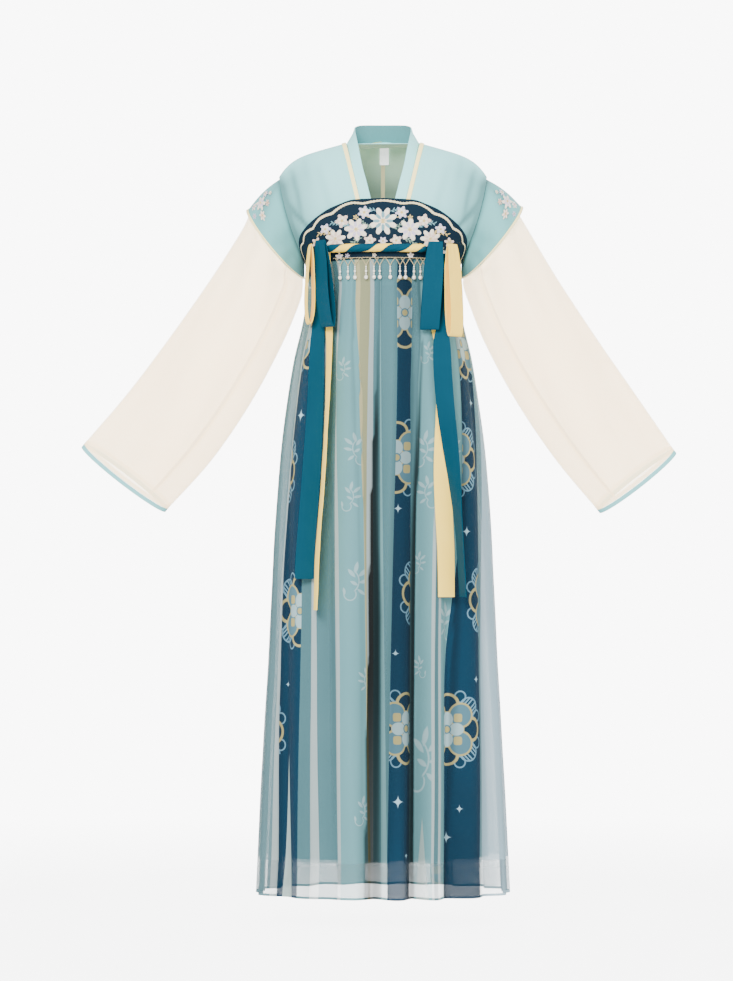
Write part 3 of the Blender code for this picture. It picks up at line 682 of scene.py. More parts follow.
SPRIG_LEAVES = (
    Leaf(-0.12, 1.0, 75, 0.42, 0.14), Leaf(0.36, 0.66, 38, 0.44, 0.14), Leaf(-0.46, 0.62, 132, 0.38, 0.13),
    Leaf(0.42, 0.05, 12, 0.38, 0.12), Leaf(-0.3, -0.06, 152, 0.3, 0.11), Leaf(0.2, -0.66, -35, 0.34, 0.11),
    Leaf(-1.0, -0.6, 100, 0.25, 0.1),
)
SEAM_TINT = srgb(236, 208, 160)
PRINT_CREAM = srgb(176, 166, 112)
PRINT_BLUE = srgb(84, 124, 138)
PRINT_PALE = srgb(112, 156, 176)
PRINT_WHITE = srgb(158, 188, 192)
PRINT_NAVY = srgb(20, 48, 68)
PRINT_WEDGE = srgb(160, 182, 178)
STAR_PALE = srgb(168, 206, 220)
PRINTS: dict[Motif, Callable[[Bench, Wire], Wire]] = {
    Motif.ROSETTE: rosette_print,
    Motif.STAR: star_print,
    Motif.SPRIG: sprig_print,
    Motif.WEDGE: wedge_print,
}

# Where a finish has glow, light of its own colour is painted into it as a painted glow.
PALE_TEAL = ClothFinish("pale teal cloth", srgb(161, 232, 232), srgb(146, 221, 222), sheen=0.1, glow=0.07)
COLLAR_TEAL = ClothFinish("collar cloth", srgb(163, 234, 234), srgb(148, 223, 224), sheen=0.1, glow=0.04)
# The collar's inside is a darker copy of the collar cloth: painted shade.
COLLAR_INSIDE_SHADED = ClothFinish("inside of the collar", srgb(92, 150, 152), srgb(80, 138, 141), Weave.PLAIN, 0.85)
SAGE_INSIDE = ClothFinish("inside of the back", srgb(190, 226, 200), srgb(170, 210, 182), Weave.PLAIN, 0.85,
                          glow=0.25, dim=-0.047)
SLEEVE_TEAL = ClothFinish("half sleeve cloth", srgb(116, 184, 184), srgb(102, 171, 172))
CREAM_TRIM = ClothFinish("cream trim", srgb(255, 237, 168), srgb(250, 226, 148), Weave.SATIN, 0.6, glow=0.6)
TAPE_TRIM = ClothFinish("seam tape", srgb(196, 190, 150), srgb(176, 170, 130), Weave.SATIN, 0.7, glow=0.35)
LABEL_WHITE = ClothFinish("white label", srgb(236, 240, 240), srgb(228, 234, 236), Weave.SATIN, 0.6, glow=1.3)
ORGANZA = ClothFinish("ivory organza", srgb(255, 237, 200), srgb(250, 227, 184), Weave.SHEER, 0.6, 0.48, 0.3,
                      glow=1.8, seams=(0.347, 0.653), fold=0.45)
CUFF_BLUE = ClothFinish("pale blue binding", srgb(134, 206, 208), srgb(118, 192, 195), Weave.SATIN, 0.6)
BAND_NAVY = ClothFinish("band ground", srgb(4, 32, 48), srgb(2, 24, 38), Weave.SATIN, 0.65, sheen=0.02,
                        gloss=0.1)
RIBBON_TEAL = ClothFinish("deep teal ribbon", srgb(12, 67, 86), srgb(8, 57, 74), Weave.CREPE, 0.75,
                          sheen=0.02, gloss=0.06)
RIBBON_CREAM = ClothFinish("butter ribbon", srgb(255, 222, 102), srgb(250, 206, 78), Weave.CREPE, 0.75,
                           sheen=0.05, glow=0.1)
LINING_BLUE = ClothFinish("plain lining", srgb(128, 172, 177), srgb(116, 160, 166), Weave.SATIN, 0.7)


# Heights and reaches are in metres, scales are to a metre, and shares say how much of a mask shows
MOTTLE_SCALE = 9.0
GRAIN_SCALE = 160.0
GRAIN_SHARE = 0.22
SLUB_SCALE = 420.0
THREAD_SHARE = 0.6
SEAM_SHARE = 0.8
DOUBLED_COVER = 0.55
# FOLD_COVER adds cover where painted shade lies, as doubled cloth in folds does.
FOLD_COVER = 0.9
HEM_TOP = -1.3438
HEM_COVER = 0.92
# DIM_REACH, DIM_SHARE and DIM_TINT paint shade on the lower inside of the back.
DIM_REACH = 0.065
DIM_SHARE = 0.95
DIM_TINT = srgb(62, 84, 72)
LINING_FOOT = -1.284
UNLINED_LOSS = 1.3
LEAST_LOSS_ALPHA = 0.88


def chiffon(name: str, colour: Colour, shade: Colour, alpha: float, fold: float = 0.07) -> ClothFinish:
    """A printed chiffon stripe with a rolled hem; fold says how much of its shade colour its painted fold
    shade leaves.
    """
    return ClothFinish(name, colour, shade, Weave.SHEER, 0.75, alpha, 0.02, HEM_TOP, fold=fold, gloss=0.08)


class Stripe(Enum):
    """The printed chiffon's stripes, each with its finish."""

    NAVY = chiffon("navy chiffon", srgb(20, 48, 68), srgb(20, 56, 78), 0.84)
    TEAL = chiffon("light teal chiffon", srgb(111, 161, 166), srgb(103, 153, 159), 0.64)
    BLUE = chiffon("blue grey chiffon", srgb(86, 127, 134), srgb(78, 119, 126), 0.64)
    STEEL = chiffon("steel chiffon", srgb(106, 142, 148), srgb(96, 131, 139), 0.56)
    PALE = chiffon("pale stripe chiffon", srgb(172, 187, 187), srgb(160, 177, 178), 0.62, 0.02)
    MINT = chiffon("pale teal chiffon", srgb(122, 168, 172), srgb(112, 158, 163), 0.6)
    SAGE = chiffon("sage chiffon", srgb(152, 153, 119), srgb(142, 144, 109), 0.68)
    CREAM = chiffon("cream stripe chiffon", srgb(182, 176, 138), srgb(170, 164, 124), 0.68)
    CLEAR = chiffon("clear chiffon", srgb(172, 200, 212), srgb(162, 191, 204), 0.48)


# Grids of cloth
def moved_out(rows: Rows, lift: float, ring: bool = False) -> Rows:
    """Moves a grid of points along its own outward direction.

    Args:
        rows: The grid.
        lift: How far to move each point.
        ring: Whether the last column meets the first.

    Returns:
        The moved grid.
    """
    return [
        [point + normal * lift for point, normal in zip(row, normals)]
        for row, normals in zip(rows, outward(rows, ring))
    ]


def outward(rows: Rows, ring: bool = False) -> Rows:
    """The outward direction at each point of a grid, whose across times along points outward.

    Args:
        rows: The grid.
        ring: Whether the last column meets the first.

    Returns:
        A unit vector for each point.
    """
    found = []
    last_row, wide = len(rows) - 1, len(rows[0])
    for index, row in enumerate(rows):
        line = []
        for place in range(wide):
            after = (place + 1) % wide if ring else min(place + 1, wide - 1)
            before = (place - 1) % wide if ring else max(place - 1, 0)
            along = rows[min(index + 1, last_row)][place] - rows[max(index - 1, 0)][place]
            line.append((row[after] - row[before]).cross(along).normalized())
        found.append(line)
    return found


@dataclass(frozen=True)
class Crease:
    """A soft trough or ridge drawn on a piece, in the piece's own shares.

    Attributes:
        start: Its first end, as (across, along) shares of the grid.
        end: Its other end.
        width: Half width as a share of the grid's width.
        depth: How far it goes in, or out below 0, in millimetres.
        wander: How far it strays from straight, as a share.
    """

    start: tuple[float, float]
    end: tuple[float, float]
    width: float
    depth: float
    wander: float = 0.01

    def at(self, across: float, along: float, wide: float, tall: float, ring: bool) -> float:
        """How far the cloth goes in at a point.

        Args:
            across: Share across the grid.
            along: Share along it.
            wide: The grid's real width.
            tall: Its real height.
            ring: Whether the grid closes on itself.

        Returns:
            Millimetres inwards.
        """
        run_x = (self.end[0] - self.start[0]) * wide
        run_y = (self.end[1] - self.start[1]) * tall
        off = across - self.start[0]
        if ring:
            middle = (self.end[0] - self.start[0]) / 2
            off = (off - middle + 0.5) % 1.0 - 0.5 + middle
        to_x, to_y = off * wide, (along - self.start[1]) * tall
        length = math.hypot(run_x, run_y)
        share = (to_x * run_x + to_y * run_y) / length**2
        beside = (to_x * run_y - to_y * run_x) / length
        beside += self.wander * wide * noise(share * 4, self.start[0] + self.end[1])
        fade = math.exp(-((max(0.0, abs(share - 0.5) - 0.5) * length / (self.width * wide)) ** 2))
        taper = 0.35 + 0.65 * math.sin(math.pi * held(share)) ** 0.7
        return self.depth * taper * fade * math.exp(-((beside / (self.width * wide)) ** 2))


def sinks(rows: Rows, creases: Sequence[Crease], ring: bool = False) -> Shares:
    """Adds creases up over a grid of cloth.

    Args:
        rows: The grid.
        creases: The troughs and ridges.
        ring: Whether the last column meets the first.

    Returns:
        Millimetres inwards at each point.
    """
    wide = lengths(rows[len(rows) // 2])[-1]
    tall = lengths([row[0] for row in rows])[-1]
    count, high = len(rows[0]) - (0 if ring else 1), len(rows) - 1
    return [
        [sum(crease.at(place / count, index / high, wide, tall, ring) for crease in creases)
         for place in range(len(row))]
        for index, row in enumerate(rows)
    ]


def creased(rows: Rows, sunk_and_shade: Shares, ring: bool = False) -> Rows:
    """Moves each point of a grid inwards by its own sink."""
    return [
        [point - normal * sink for point, normal, sink in zip(row, normals, line)]
        for row, normals, line in zip(rows, outward(rows, ring), sunk_and_shade)
    ]


def shares_of(sunk_and_shade: Shares, deepest: float, edge: Sequence[float] = ()) -> Shares:
    """Turns sinks into shares of painted fold shade, with more painted shade towards an edge.

    Args:
        sunk_and_shade: Millimetres inwards at each point.
        deepest: The sink that counts as 1.
        edge: More painted shade for each column.

    Returns:
        The shares, from 0 to 1.
    """
    return [
        [held(max(sink / deepest, 0.0) + (edge[place] if edge else 0.0)) for place, sink in enumerate(line)]
        for line in sunk_and_shade
    ]


def new_object(name: str, points: Sequence[Vector], faces: Sequence[Sequence[int]]) -> bpy.types.Object:
    """Makes a mesh object in the scene.

    Args:
        name: Its name.
        points: Its points in millimetres.
        faces: The points of each face.

    Returns:
        The object.
    """
    mesh = bpy.data.meshes.new(name)
    mesh.from_pydata([point * MM for point in points], [], faces)
    obj = bpy.data.objects.new(name, mesh)
    bpy.context.scene.collection.objects.link(obj)
    return obj


@dataclass
class Cloth:
    """One wall of cloth, from a grid of outer points in millimetres.

    Attributes:
        name: The piece's name.
        rows: The grid, with across times along pointing outward.
        thickness: Of the wall, in millimetres.
        ring: Whether the last column meets the first.
        side: -1 turns a left piece into the right one.
        lined: Whether its inner face takes the second material.
        patches: The finish of each face, by row and column, where it has more than one.
        motifs: The Motif map's pair of each face corner, by row and column.
        sunk_and_shade: How much painted shade each point of the grid takes, from 0 to 1, where it has any:
            mostly in its folds, and on some pieces also towards their edges, heads and feet.
    """

    name: str
    rows: Rows
    thickness: float
    ring: bool = False
    side: int = 1
    lined: bool = False
    patches: dict[tuple[int, int], int] = field(default_factory=dict)
    motifs: dict[tuple[int, int], tuple[tuple[float, float], ...]] = field(default_factory=dict)
    sunk_and_shade: Sequence[Sequence[float]] = ()

    def sew(self, finishes: Sequence[ClothFinish], slot: str, *nodes: str) -> bpy.types.Object:
        """Builds the wall and hands it to the frame.

        Args:
            finishes: Its finish, or those of its outer and inner face.
            slot: The record's material slot.
            nodes: The CAD nodes that it stands for.

        Returns:
            The piece.
        """
        return settle(self.make([finish.material() for finish in finishes]), slot, *nodes)

    def make(self, materials: Sequence[bpy.types.Material]) -> bpy.types.Object:
        """Builds the wall.

        Args:
            materials: The materials that patches count, or the only one.

        Returns:
            The finished object.
        """
        wide = len(self.rows[0])
        spans = wide if self.ring else wide - 1
        points = [sided(point, self.side) for row in self.rows for point in row]
        faces, prints, finishes, marks, folds = [], [], [], [], []
        widths, heights = self._measures()
        for row in range(len(self.rows) - 1):
            for place in range(spans):
                corners = [(row, place), (row, place + 1), (row + 1, place + 1), (row + 1, place)]
                if self.side < 0:
                    corners.reverse()
                marks_here = self.motifs.get((row, place), ((9.0, 9.0),) * 4)
                faces.append([r * wide + c % wide for r, c in corners])
                prints += [(widths[r][c] * MM, heights[r][c % wide] * MM) for r, c in corners]
                marks += marks_here if self.side > 0 else tuple(reversed(marks_here))
                # The Fold map carries each corner's share of painted shade.
                folds += [(self.sunk_and_shade[r][c % wide] if self.sunk_and_shade else 0.0, 0.0) for r, c in corners]
                finishes.append(self.patches.get((row, place), 0))
        obj = new_object(self.name, points, faces)
        mesh = obj.data
        for label, values in (("Cloth", prints), ("Motif", marks), ("Fold", folds)):
            layer = mesh.uv_layers.new(name=label)
            layer.data.foreach_set("uv", [number for pair in values for number in pair])
        for material in materials:
            mesh.materials.append(material)
        mesh.polygons.foreach_set("material_index", finishes)
        mesh.polygons.foreach_set("use_smooth", [True] * len(faces))
        wall = obj.modifiers.new("wall", "SOLIDIFY")
        wall.thickness = self.thickness * MM
        wall.offset = -1.0
        wall.material_offset = 1 if self.lined else 0
        apply_modifiers(obj)
        bpy.ops.object.shade_smooth_by_angle(angle=math.radians(50))
        return obj

    def _measures(self) -> tuple[Shares, Shares]:
        """Measures the grid.

        Returns:
            For each point its distance across from the first column, and along from the first row.
        """
        widths = [lengths(row + row[:1] if self.ring else row) for row in self.rows]
        heights = [[0.0] * len(self.rows[0])]
        for above, below in zip(self.rows, self.rows[1:]):
            heights.append([h + (b - a).length for h, a, b in zip(heights[-1], above, below)])
        return widths, heights


def only(obj: bpy.types.Object) -> None:
    """Selects an object alone and makes it active.

    Args:
        obj: The object.
    """
    bpy.ops.object.select_all(action="DESELECT")
    obj.select_set(True)
    bpy.context.view_layer.objects.active = obj


def apply_modifiers(obj: bpy.types.Object) -> None:
    """Applies an object's modifiers in their order.

    Args:
        obj: The object.
    """
    only(obj)
    for modifier in list(obj.modifiers):
        bpy.ops.object.modifier_apply(modifier=modifier.name)


def face_out(obj: bpy.types.Object) -> None:
    """Turns every face of a closed mesh outward.

    Args:
        obj: The mesh's object.
    """
    only(obj)
    bpy.ops.object.mode_set(mode="EDIT")
    bpy.ops.mesh.select_all(action="SELECT")
    bpy.ops.mesh.normals_make_consistent(inside=False)
    bpy.ops.object.mode_set(mode="OBJECT")


def settle(obj: bpy.types.Object, slot: str, *nodes: str) -> bpy.types.Object:
    """Hands a finished piece to the frame.

    Args:
        obj: The piece.
        slot: The record's material slot. It is not used.
        nodes: The CAD nodes that it stands for.

    Returns:
        The piece.
    """
    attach(obj, ROOT)
    if nodes:
        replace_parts(obj, *nodes)
    LOG.info("%s: %d faces", obj.name, len(obj.data.polygons))
    return obj


# The worn form, as the pattern has it
@dataclass(frozen=True)
class Edge:
    """One row of an outline table: a place and the heights of two edges there."""

    angle: float
    top: float
    bottom: float


@dataclass(frozen=True)
class WornForm:
    """The round form that the jacket and band are cut to.

    Attributes:
        neck_half: Half the width of the neck opening.
        shoulder_half: Half the width between the shoulder seams.
        shoulder_drop: How far the ridge falls to the shoulder's end.
        neck_rise: How far the back neck stands over the shoulders.
        neck_dip: How far the back neckline lies below the ridge.
        armhole_height: From the shoulder's end to the armhole's foot.
        armhole_foot: Half width at the foot.
        armhole_bow: How far the armhole bows out.
        seam_gap: Between two pieces.
        fold_x: Where the soft fold beside the armhole lies.
        fold_width: How wide it is.
        fold_height: Height of its middle.
        fold_tall: How tall it is.
        level_start: How far below the ridge a row starts to run straight.
        level_reach: How much lower it does so wholly.
    """

    neck_half: float = 66.0
    shoulder_half: float = 187.0
    shoulder_drop: float = 61.0
    neck_rise: float = 43.0
    neck_dip: float = 34.0
    armhole_height: float = 157.0
    armhole_foot: float = 139.0
    armhole_bow: float = 28.0
    seam_gap: float = 0.3
    fold_x: float = 157.0
    fold_width: float = 9.0
    fold_height: float = -125.0
    fold_tall: float = 38.0
    level_start: float = 30.0
    level_reach: float = 90.0

    width_at = Curve(((-310, 127), (-262, 129.5), (-234, 133), (-218, 139), (-206, 148), (-177, 172),
                      (-137, 215), (-100, 270), (-60, 300), (60, 320)))
    front_depth = Curve(((0, 0), (0.3, 4), (2, 11), (6, 20), (30, 45), (75, 73), (107, 88), (118, 93),
                         (160, 107), (196, 112.5), (218, 113), (262, 112), (310, 109), (360, 108)))
    back_depth = Curve(((0, 0), (0.3, 5), (2, 13), (6, 24), (14, 38), (34, 58), (60, 74), (100, 87),
                        (150, 95), (200, 98), (261, 98), (310, 96), (380, 95)))

    def shoulder_height(self, x: float) -> float:
        """Height of the shoulder ridge.

        Args:
            x: Where it is read.

        Returns:
            The height.
        """
        reach = (abs(x) - self.neck_half) / (self.shoulder_half - self.neck_half)
        reach = min(max(reach, 0.0), 1.03)
        return -self.shoulder_drop * (0.55 * reach + 0.45 * reach**6)

    def back_height(self, x: float) -> float:
        """The ridge as the back sees it, with the neck's rise."""
        inner = max(0.0, 1 - (x / self.neck_half) ** 2)
        return self.shoulder_height(x) + self.neck_rise * inner**1.5

    def neck_drop(self, x: float) -> float:
        """How far below the ridge the back neckline lies at x."""
        return self.neck_dip * (1 - (x / self.neck_half) ** 2)

    def edge_x(self, height: float) -> float:
        """Half width of a jacket panel at its armhole or side seam.

        Args:
            height: Where it is read.

        Returns:
            The half width.
        """
        down = (-self.shoulder_drop - height) / self.armhole_height
        if down > 1:
            return self.width_at.at(height)
        return mix(self.shoulder_half, self.armhole_foot, down) + self.armhole_bow * down * (1 - down)

    def edge_point(self, height: float, front: bool) -> Vector:
        """The armhole's edge at a height.

        Args:
            height: The height.
            front: Whether it is the front half.

        Returns:
            The point.
        """
        x = self.edge_x(height)
        table = self.front_depth if front else self.back_depth
        depth = table.at(max(0.0, self.shoulder_height(x) - height))
        depth *= math.sqrt(max(0.0, 1 - (x / self.width_at.at(height)) ** 2))
        return Vector((x, -depth if front else depth, height))

    def row(self, start_x: float, drop: float, end_height: float, shares: Sequence[float], front: bool,
            fold: float = 5.0) -> list[Vector]:
        """Points of one panel row, from its neck or centre edge to its armhole or side seam.

        Args:
            start_x: Where it starts, from the middle plane.
            drop: How far below the ridge it starts.
            end_height: Height of its far end.
            shares: Places along it.
            front: Whether it is on the front.
            fold: Depth of the soft fold beside the armhole.

        Returns:
            The points.
        """
        ridge = self.shoulder_height if front else self.back_height
        table = self.front_depth if front else self.back_depth
        end_x = self.edge_x(end_height)
        end_drop = max(0.0, ridge(end_x) - end_height) if drop else 0.0
        width = max(self.width_at.at(end_height), end_x)
        first, last = math.asin(start_x / width), math.asin(min(1.0, end_x / width))
        level = held((drop - self.level_start) / self.level_reach)
        found = []
        for share in shares:
            angle = mix(first, last, share)
            x = width * math.sin(angle)
            below_ridge = ridge(x) - mix(drop, end_drop, share)
            straight = mix(ridge(start_x) - drop, end_height, share)
            height = mix(below_ridge, straight, level)
            depth = table.at(ridge(x) - height) * math.cos(angle)
            if front:
                beside = (x - self.fold_x) / self.fold_width
                depth -= fold * math.exp(-(beside**2) - ((height - self.fold_height) / self.fold_tall) ** 2)
            depth = max(depth, self.seam_gap / 2)
            found.append(Vector((x, -depth if front else depth, height)))
        return found

    def surface(self, angle: float, height: float, lift: float) -> Vector:
        """A point round the body, moved out.

        Args:
            angle: Angle round the body in degrees.
            height: The height.
            lift: How far outside the jacket's surface it lies.

        Returns:
            The point.
        """
        turn = math.radians(angle)
        width = self.width_at.at(height)
        x = width * math.sin(turn)
        front = math.cos(turn) >= 0
        ridge = self.shoulder_height(x) if front else self.back_height(x)
        depth = (self.front_depth if front else self.back_depth).at(max(0.0, ridge - height))
        out = Vector((math.sin(turn) / width, -math.cos(turn) / depth, 0)).normalized()
        return Vector((x, -depth * math.cos(turn), height)) + out * lift


FORM = WornForm()


@dataclass(frozen=True)
class PanelRow:
    """A row of a jacket panel: where it starts, how far below the ridge, and where it ends."""

    start: float
    drop: float
    end_height: float


def finer(rows: Sequence[PanelRow], steps: int) -> list[PanelRow]:
    """Adds even steps between a panel's rows.

    Args:
        rows: The rows.
        steps: How many steps between each two.

    Returns:
        All rows.
    """
    found = []
    for upper, lower in zip(rows, rows[1:]):
        for step in range(steps):
            share = step / steps
            start = mix(upper.start, lower.start, share)
            drop = FORM.neck_drop(start) if upper.start > 0 else mix(upper.drop, lower.drop, share)
            found.append(PanelRow(start, drop, mix(upper.end_height, lower.end_height, share)))
    return found + [rows[-1]]


@dataclass
class Jacket:
    """The short jacket: two fronts, a back, the folded collar with its piping, tape and a bare label.

    Attributes:
        cloth: Thickness of its panels.
        collar_cloth: Of the folded collar.
        trim: Of the piping, tape and label.
        piping_width: Width of the piping.
        across: Columns of a panel.
        collar_tuck: How far the collar's inner edge is tucked inside the neckline where it stands.
        collar_stand: How far down the front the collar stands up.
        piping_start: How far below the ridge the piping starts.
        piping_lift: How far its outer face lies over the panels.
        piping_back_steps: Rows of the piping behind the neck.
        low_shade: More painted shade at a front's foot.
        side_most: More painted shade at a front's armhole.
        side_start: Where across the front that starts.
        side_top: Where down the front it starts.
        back_shade: More painted shade on the lower back.
        back_top: Where down the back it starts.
        shade_reach: How far down the painted shade of a front's side or of the back takes to grow.
        edge_shade: More painted shade at a panel's very edge.
        edge_start: Where that starts, as a share across the panel.
    """

    cloth: float = 1.2
    collar_cloth: float = 1.8
    trim: float = 1.0
    piping_width: float = 8.0
    across: int = 44
    collar_tuck: float = 1.1
    collar_stand: float = 48.0
    piping_start: float = 218.0
    piping_lift: float = 1.75
    piping_back_steps: int = 24
    low_shade: float = 0.34
    side_most: float = 0.85
    side_start: float = 0.3
    side_top: float = 0.12
    back_shade: float = 0.35
    back_top: float = 0.45
    shade_reach: float = 0.2
    edge_shade: float = 0.55
    edge_start: float = 0.9
    _back_ground: BVHTree | None = None

    neckline = Curve(((-320, 22.5), (-184, 22.5), (-108, 40.5), (-60, 51.8), (-25, 60), (-8, 64), (0, 66)))
    front_stations = tuple(
        PanelRow(0, drop, end)
        for drop, end in ((0, -61), (0.3, -61.6), (6, -67), (16, -75), (34, -87), (62, -106), (95, -128),
                          (128, -152), (160, -178), (190, -202), (218, -218), (240, -238), (275, -272),
                          (310, -310))
    )
    back_stations = tuple(
        PanelRow(start, FORM.neck_drop(start) if start else drop, end)
        for start, drop, end in ((66, 0, -61), (65.5, 0, -61.6), (62, 0, -67), (56, 0, -74), (46, 0, -83),
                                 (34, 0, -93), (18, 0, -104), (0, 34, -116), (0, 64, -136), (0, 110, -160),
                                 (0, 165, -186), (0, 222, -208), (0, 261, -218), (0, 283, -240),
                                 (0, 318, -275), (0, 353, -310))
    )
    collar_free = (
        Curve(((-310, 0.4), (-250, 0.4), (-190, 0.4), (-150, 10.2), (-108, 21.3), (-75, 29.4), (-48, 36.5),
               (-25, 44.5), (-8, 49.5), (0, 51.5), (4, 52), (16, 44.5), (38, 26), (66, 0))),
        Curve(((-310, -109.2), (-250, -112.7), (-190, -112.2), (-150, -103.8), (-108, -87.2), (-75, -73),
               (-48, -58.5), (-25, -42), (-8, -22), (0, 2), (4, 15), (16, 31), (38, 45), (66, 50))),
        Curve(((-310, -310), (-250, -250), (-190, -190), (-150, -151), (-108, -109), (-75, -76), (-48, -49),
               (-25, -10), (-8, 12), (0, 23), (4, 28), (10, 32.5), (20, 35.8), (38, 37.5), (66, 38))),
    )
    front_creases = (
        Crease((0.99, 0.40), (0.60, 0.66), 0.032, 3.4), Crease((0.95, 0.60), (0.55, 0.80), 0.030, 2.6),
        Crease((0.84, 0.16), (0.76, 0.52), 0.038, 2.2), Crease((0.45, 0.30), (0.32, 0.62), 0.055, 1.3),
        Crease((0.97, 0.18), (0.84, 0.44), 0.030, -1.6), Crease((0.25, 0.18), (0.18, 0.5), 0.05, -0.8),
        Crease((0.99, 0.52), (0.72, 0.62), 0.022, -1.5), Crease((0.62, 0.10), (0.60, 0.40), 0.05, 1.0),
        Crease((0.99, 0.72), (0.70, 0.92), 0.035, 2.4),
    )
    back_creases = (
        Crease((0.98, 0.42), (0.60, 0.60), 0.038, 3.2), Crease((0.9, 0.55), (0.5, 0.78), 0.034, 2.4),
        Crease((0.62, 0.30), (0.55, 0.75), 0.055, 2.0), Crease((0.25, 0.35), (0.3, 0.8), 0.055, 1.6),
        Crease((0.97, 0.20), (0.80, 0.46), 0.034, -1.6),
    )
    deepest = 9.0

    def edge(self) -> list[float]:
        """The painted shade that grows at each column towards a panel's edge."""
        left = 1 - self.edge_start
        return [self.edge_shade * (max(0.0, share - self.edge_start) / left) ** 1.5
                for share in even_shares(self.across)]

    def start_of(self, station: PanelRow) -> float:
        """Where a front row starts at the neckline."""
        return self.neckline.at(-station.drop)

    def front_rows(self, side: int) -> tuple[Rows, Shares]:
        """The grid of one front, from its hem up, and its painted shade: in its folds, towards its armhole
        and towards its foot.

        Args:
            side: 1 for the wearer's left.

        Returns:
            The grid and the shares of painted shade.
        """
        rows = []
        for station in finer(self.front_stations, 4):
            start = self.start_of(station) + FORM.seam_gap
            row = FORM.row(start, station.drop, station.end_height, even_shares(self.across), True)
            if station.end_height < -FORM.shoulder_drop - FORM.armhole_height:
                row[-1].y = -FORM.seam_gap / 2
            rows.append(row)
        sunk_and_shade = sinks(rows, self.front_creases)
        shares = shares_of(sunk_and_shade, self.deepest, self.edge())
        shares = [
            [held(share + self.low_shade * low**1.3 + self.side_shade(place, low))
             for place, share in enumerate(line)]
            for low, line in zip(even_shares(len(shares) - 1), shares)
        ]
        inward = -1.0 if side > 0 else -0.85
        folded = creased(rows, [[sink * inward for sink in line] for line in sunk_and_shade])
        return folded[::-1], shares[::-1]

    def side_shade(self, place: int, low: float) -> float:
        """The painted shade that grows towards the armhole."""
        near = max(0.0, place / self.across - self.side_start) / (1 - self.side_start)
        return self.side_most * near**1.4 * held((low - self.side_top) / self.shade_reach)

    def back_half(self) -> Rows:
        """Draws the left half of the back.

        Returns:
            Its grid, from the ridge down.
        """
        rows = []
        for station in finer(self.back_stations, 3):
            row = FORM.row(station.start, station.drop, station.end_height, even_shares(self.across), False)
            if station.end_height < -FORM.shoulder_drop - FORM.armhole_height:
                row[-1].y = FORM.seam_gap / 2
            rows.append(row)
        return rows

    def back_rows(self) -> Rows:
        """Draws the whole back.

        Returns:
            Its grid, from the ridge down.
        """
        rows = self.back_half()
        half = creased(rows, sinks(rows, self.back_creases))
        return [[sided(point, -1) for point in row[:0:-1]] + row for row in half]

    def back_painted_shade(self) -> Shares:
        """Reads the whole back's painted shade: in its folds, towards its edges and low on it.

        Returns:
            The shares of painted shade, from the ridge down.
        """
        half = shares_of(sinks(self.back_half(), self.back_creases), self.deepest, self.edge())
        more = [self.back_shade * held((low - self.back_top) / self.shade_reach)
                for low in even_shares(len(half) - 1)]
        return [[held(share + extra) for share in line[:0:-1] + line] for extra, line in zip(more, half)]

    def make(self) -> None:
        """Builds every piece of the jacket."""
        for name, side in SIDES.items():
            node = "bodice_front_" + name
            rows, sunk_and_shade = self.front_rows(side)
            cloth = Cloth(node + "_cloth", rows, self.cloth, side=side, sunk_and_shade=sunk_and_shade)
            cloth.sew([PALE_TEAL], "bodice", node)
        back = Cloth("bodice_back_cloth", self.back_rows(), self.cloth, lined=True, sunk_and_shade=self.back_painted_shade())
        back.sew([PALE_TEAL, SAGE_INSIDE], "bodice", "bodice_back")
        collar = Cloth("collar_cloth", self.collar_rows(), self.collar_cloth, lined=True)
        collar.sew([COLLAR_TEAL, COLLAR_INSIDE_SHADED], "collar", "collar_band")
        Cloth("piping_cord", self.piping_rows(), self.trim).sew([CREAM_TRIM], "trim", "collar_piping")
        tape = self.behind((-3.6, -3.2, 0.0, 3.2, 3.6), [-7 * step for step in range(45)], 1.7)
        Cloth("tape_strip", tape, self.trim).sew([TAPE_TRIM], "trim", "centre_back_tape")
        label = self.behind((-6.0, -3.0, 0.0, 4.0, 8.0, 11.0), [2 - 4 * step for step in range(9)], 4.3)
        Cloth("label_tab", label, self.trim).sew([LABEL_WHITE], "label", "neck_label")

    def collar_rows(self) -> Rows:
        """Draws the folded collar.

        Returns:
            Its grid, from one end under the band round the neck to the other.
        """
        seams = []
        for station in finer(self.front_stations, 3)[::-1]:
            start = self.start_of(station)
            point = FORM.row(start, station.drop, station.end_height, [0.0], True, 0.0)[0]
            seams.append((-station.drop, point))
        for station in finer(self.back_stations, 3)[1:]:
            if station.drop <= FORM.neck_dip:
                point = FORM.row(station.start, station.drop, station.end_height, [0.0], False)[0]
                seams.append((FORM.neck_half - station.start, point))
        half = []
        for way, seam in seams:
            free = Vector([axis.at(way) for axis in self.collar_free])
            stand = held(1 + way / self.collar_stand)
            seam = seam + Vector((-seam.x, -seam.y, 0)).normalized() * self.collar_tuck * stand
            row = [mix(free, seam, share) for share in (0.0, 0.02, 0.12, 0.3, 0.5, 0.7, 0.9, 1.0)]
            half.append(row)
        return mirrored(half)

    def ground(self, rows: Rows) -> BVHTree:
        """Makes a grid of cloth into a ground that rays can meet.

        Args:
            rows: The grid.

        Returns:
            The ground.
        """
        return BVHTree.FromPolygons([p for row in rows for p in row], quads(len(rows), len(rows[0]), False))

    def on_back(self, x: float, height: float) -> Vector:
        """Finds the back panel's own point.

        Args:
            x: Where it is read.
            height: The height there.

        Returns:
            The point of the panel behind them, or else the nearest.
        """
        if self._back_ground is None:
            self._back_ground = self.ground(self.back_rows())
        found = self._back_ground.ray_cast(Vector((x, 400, height)), Vector((0, -1, 0)))[0]
        return found or self._back_ground.find_nearest(Vector((x, 60, height)))[0]

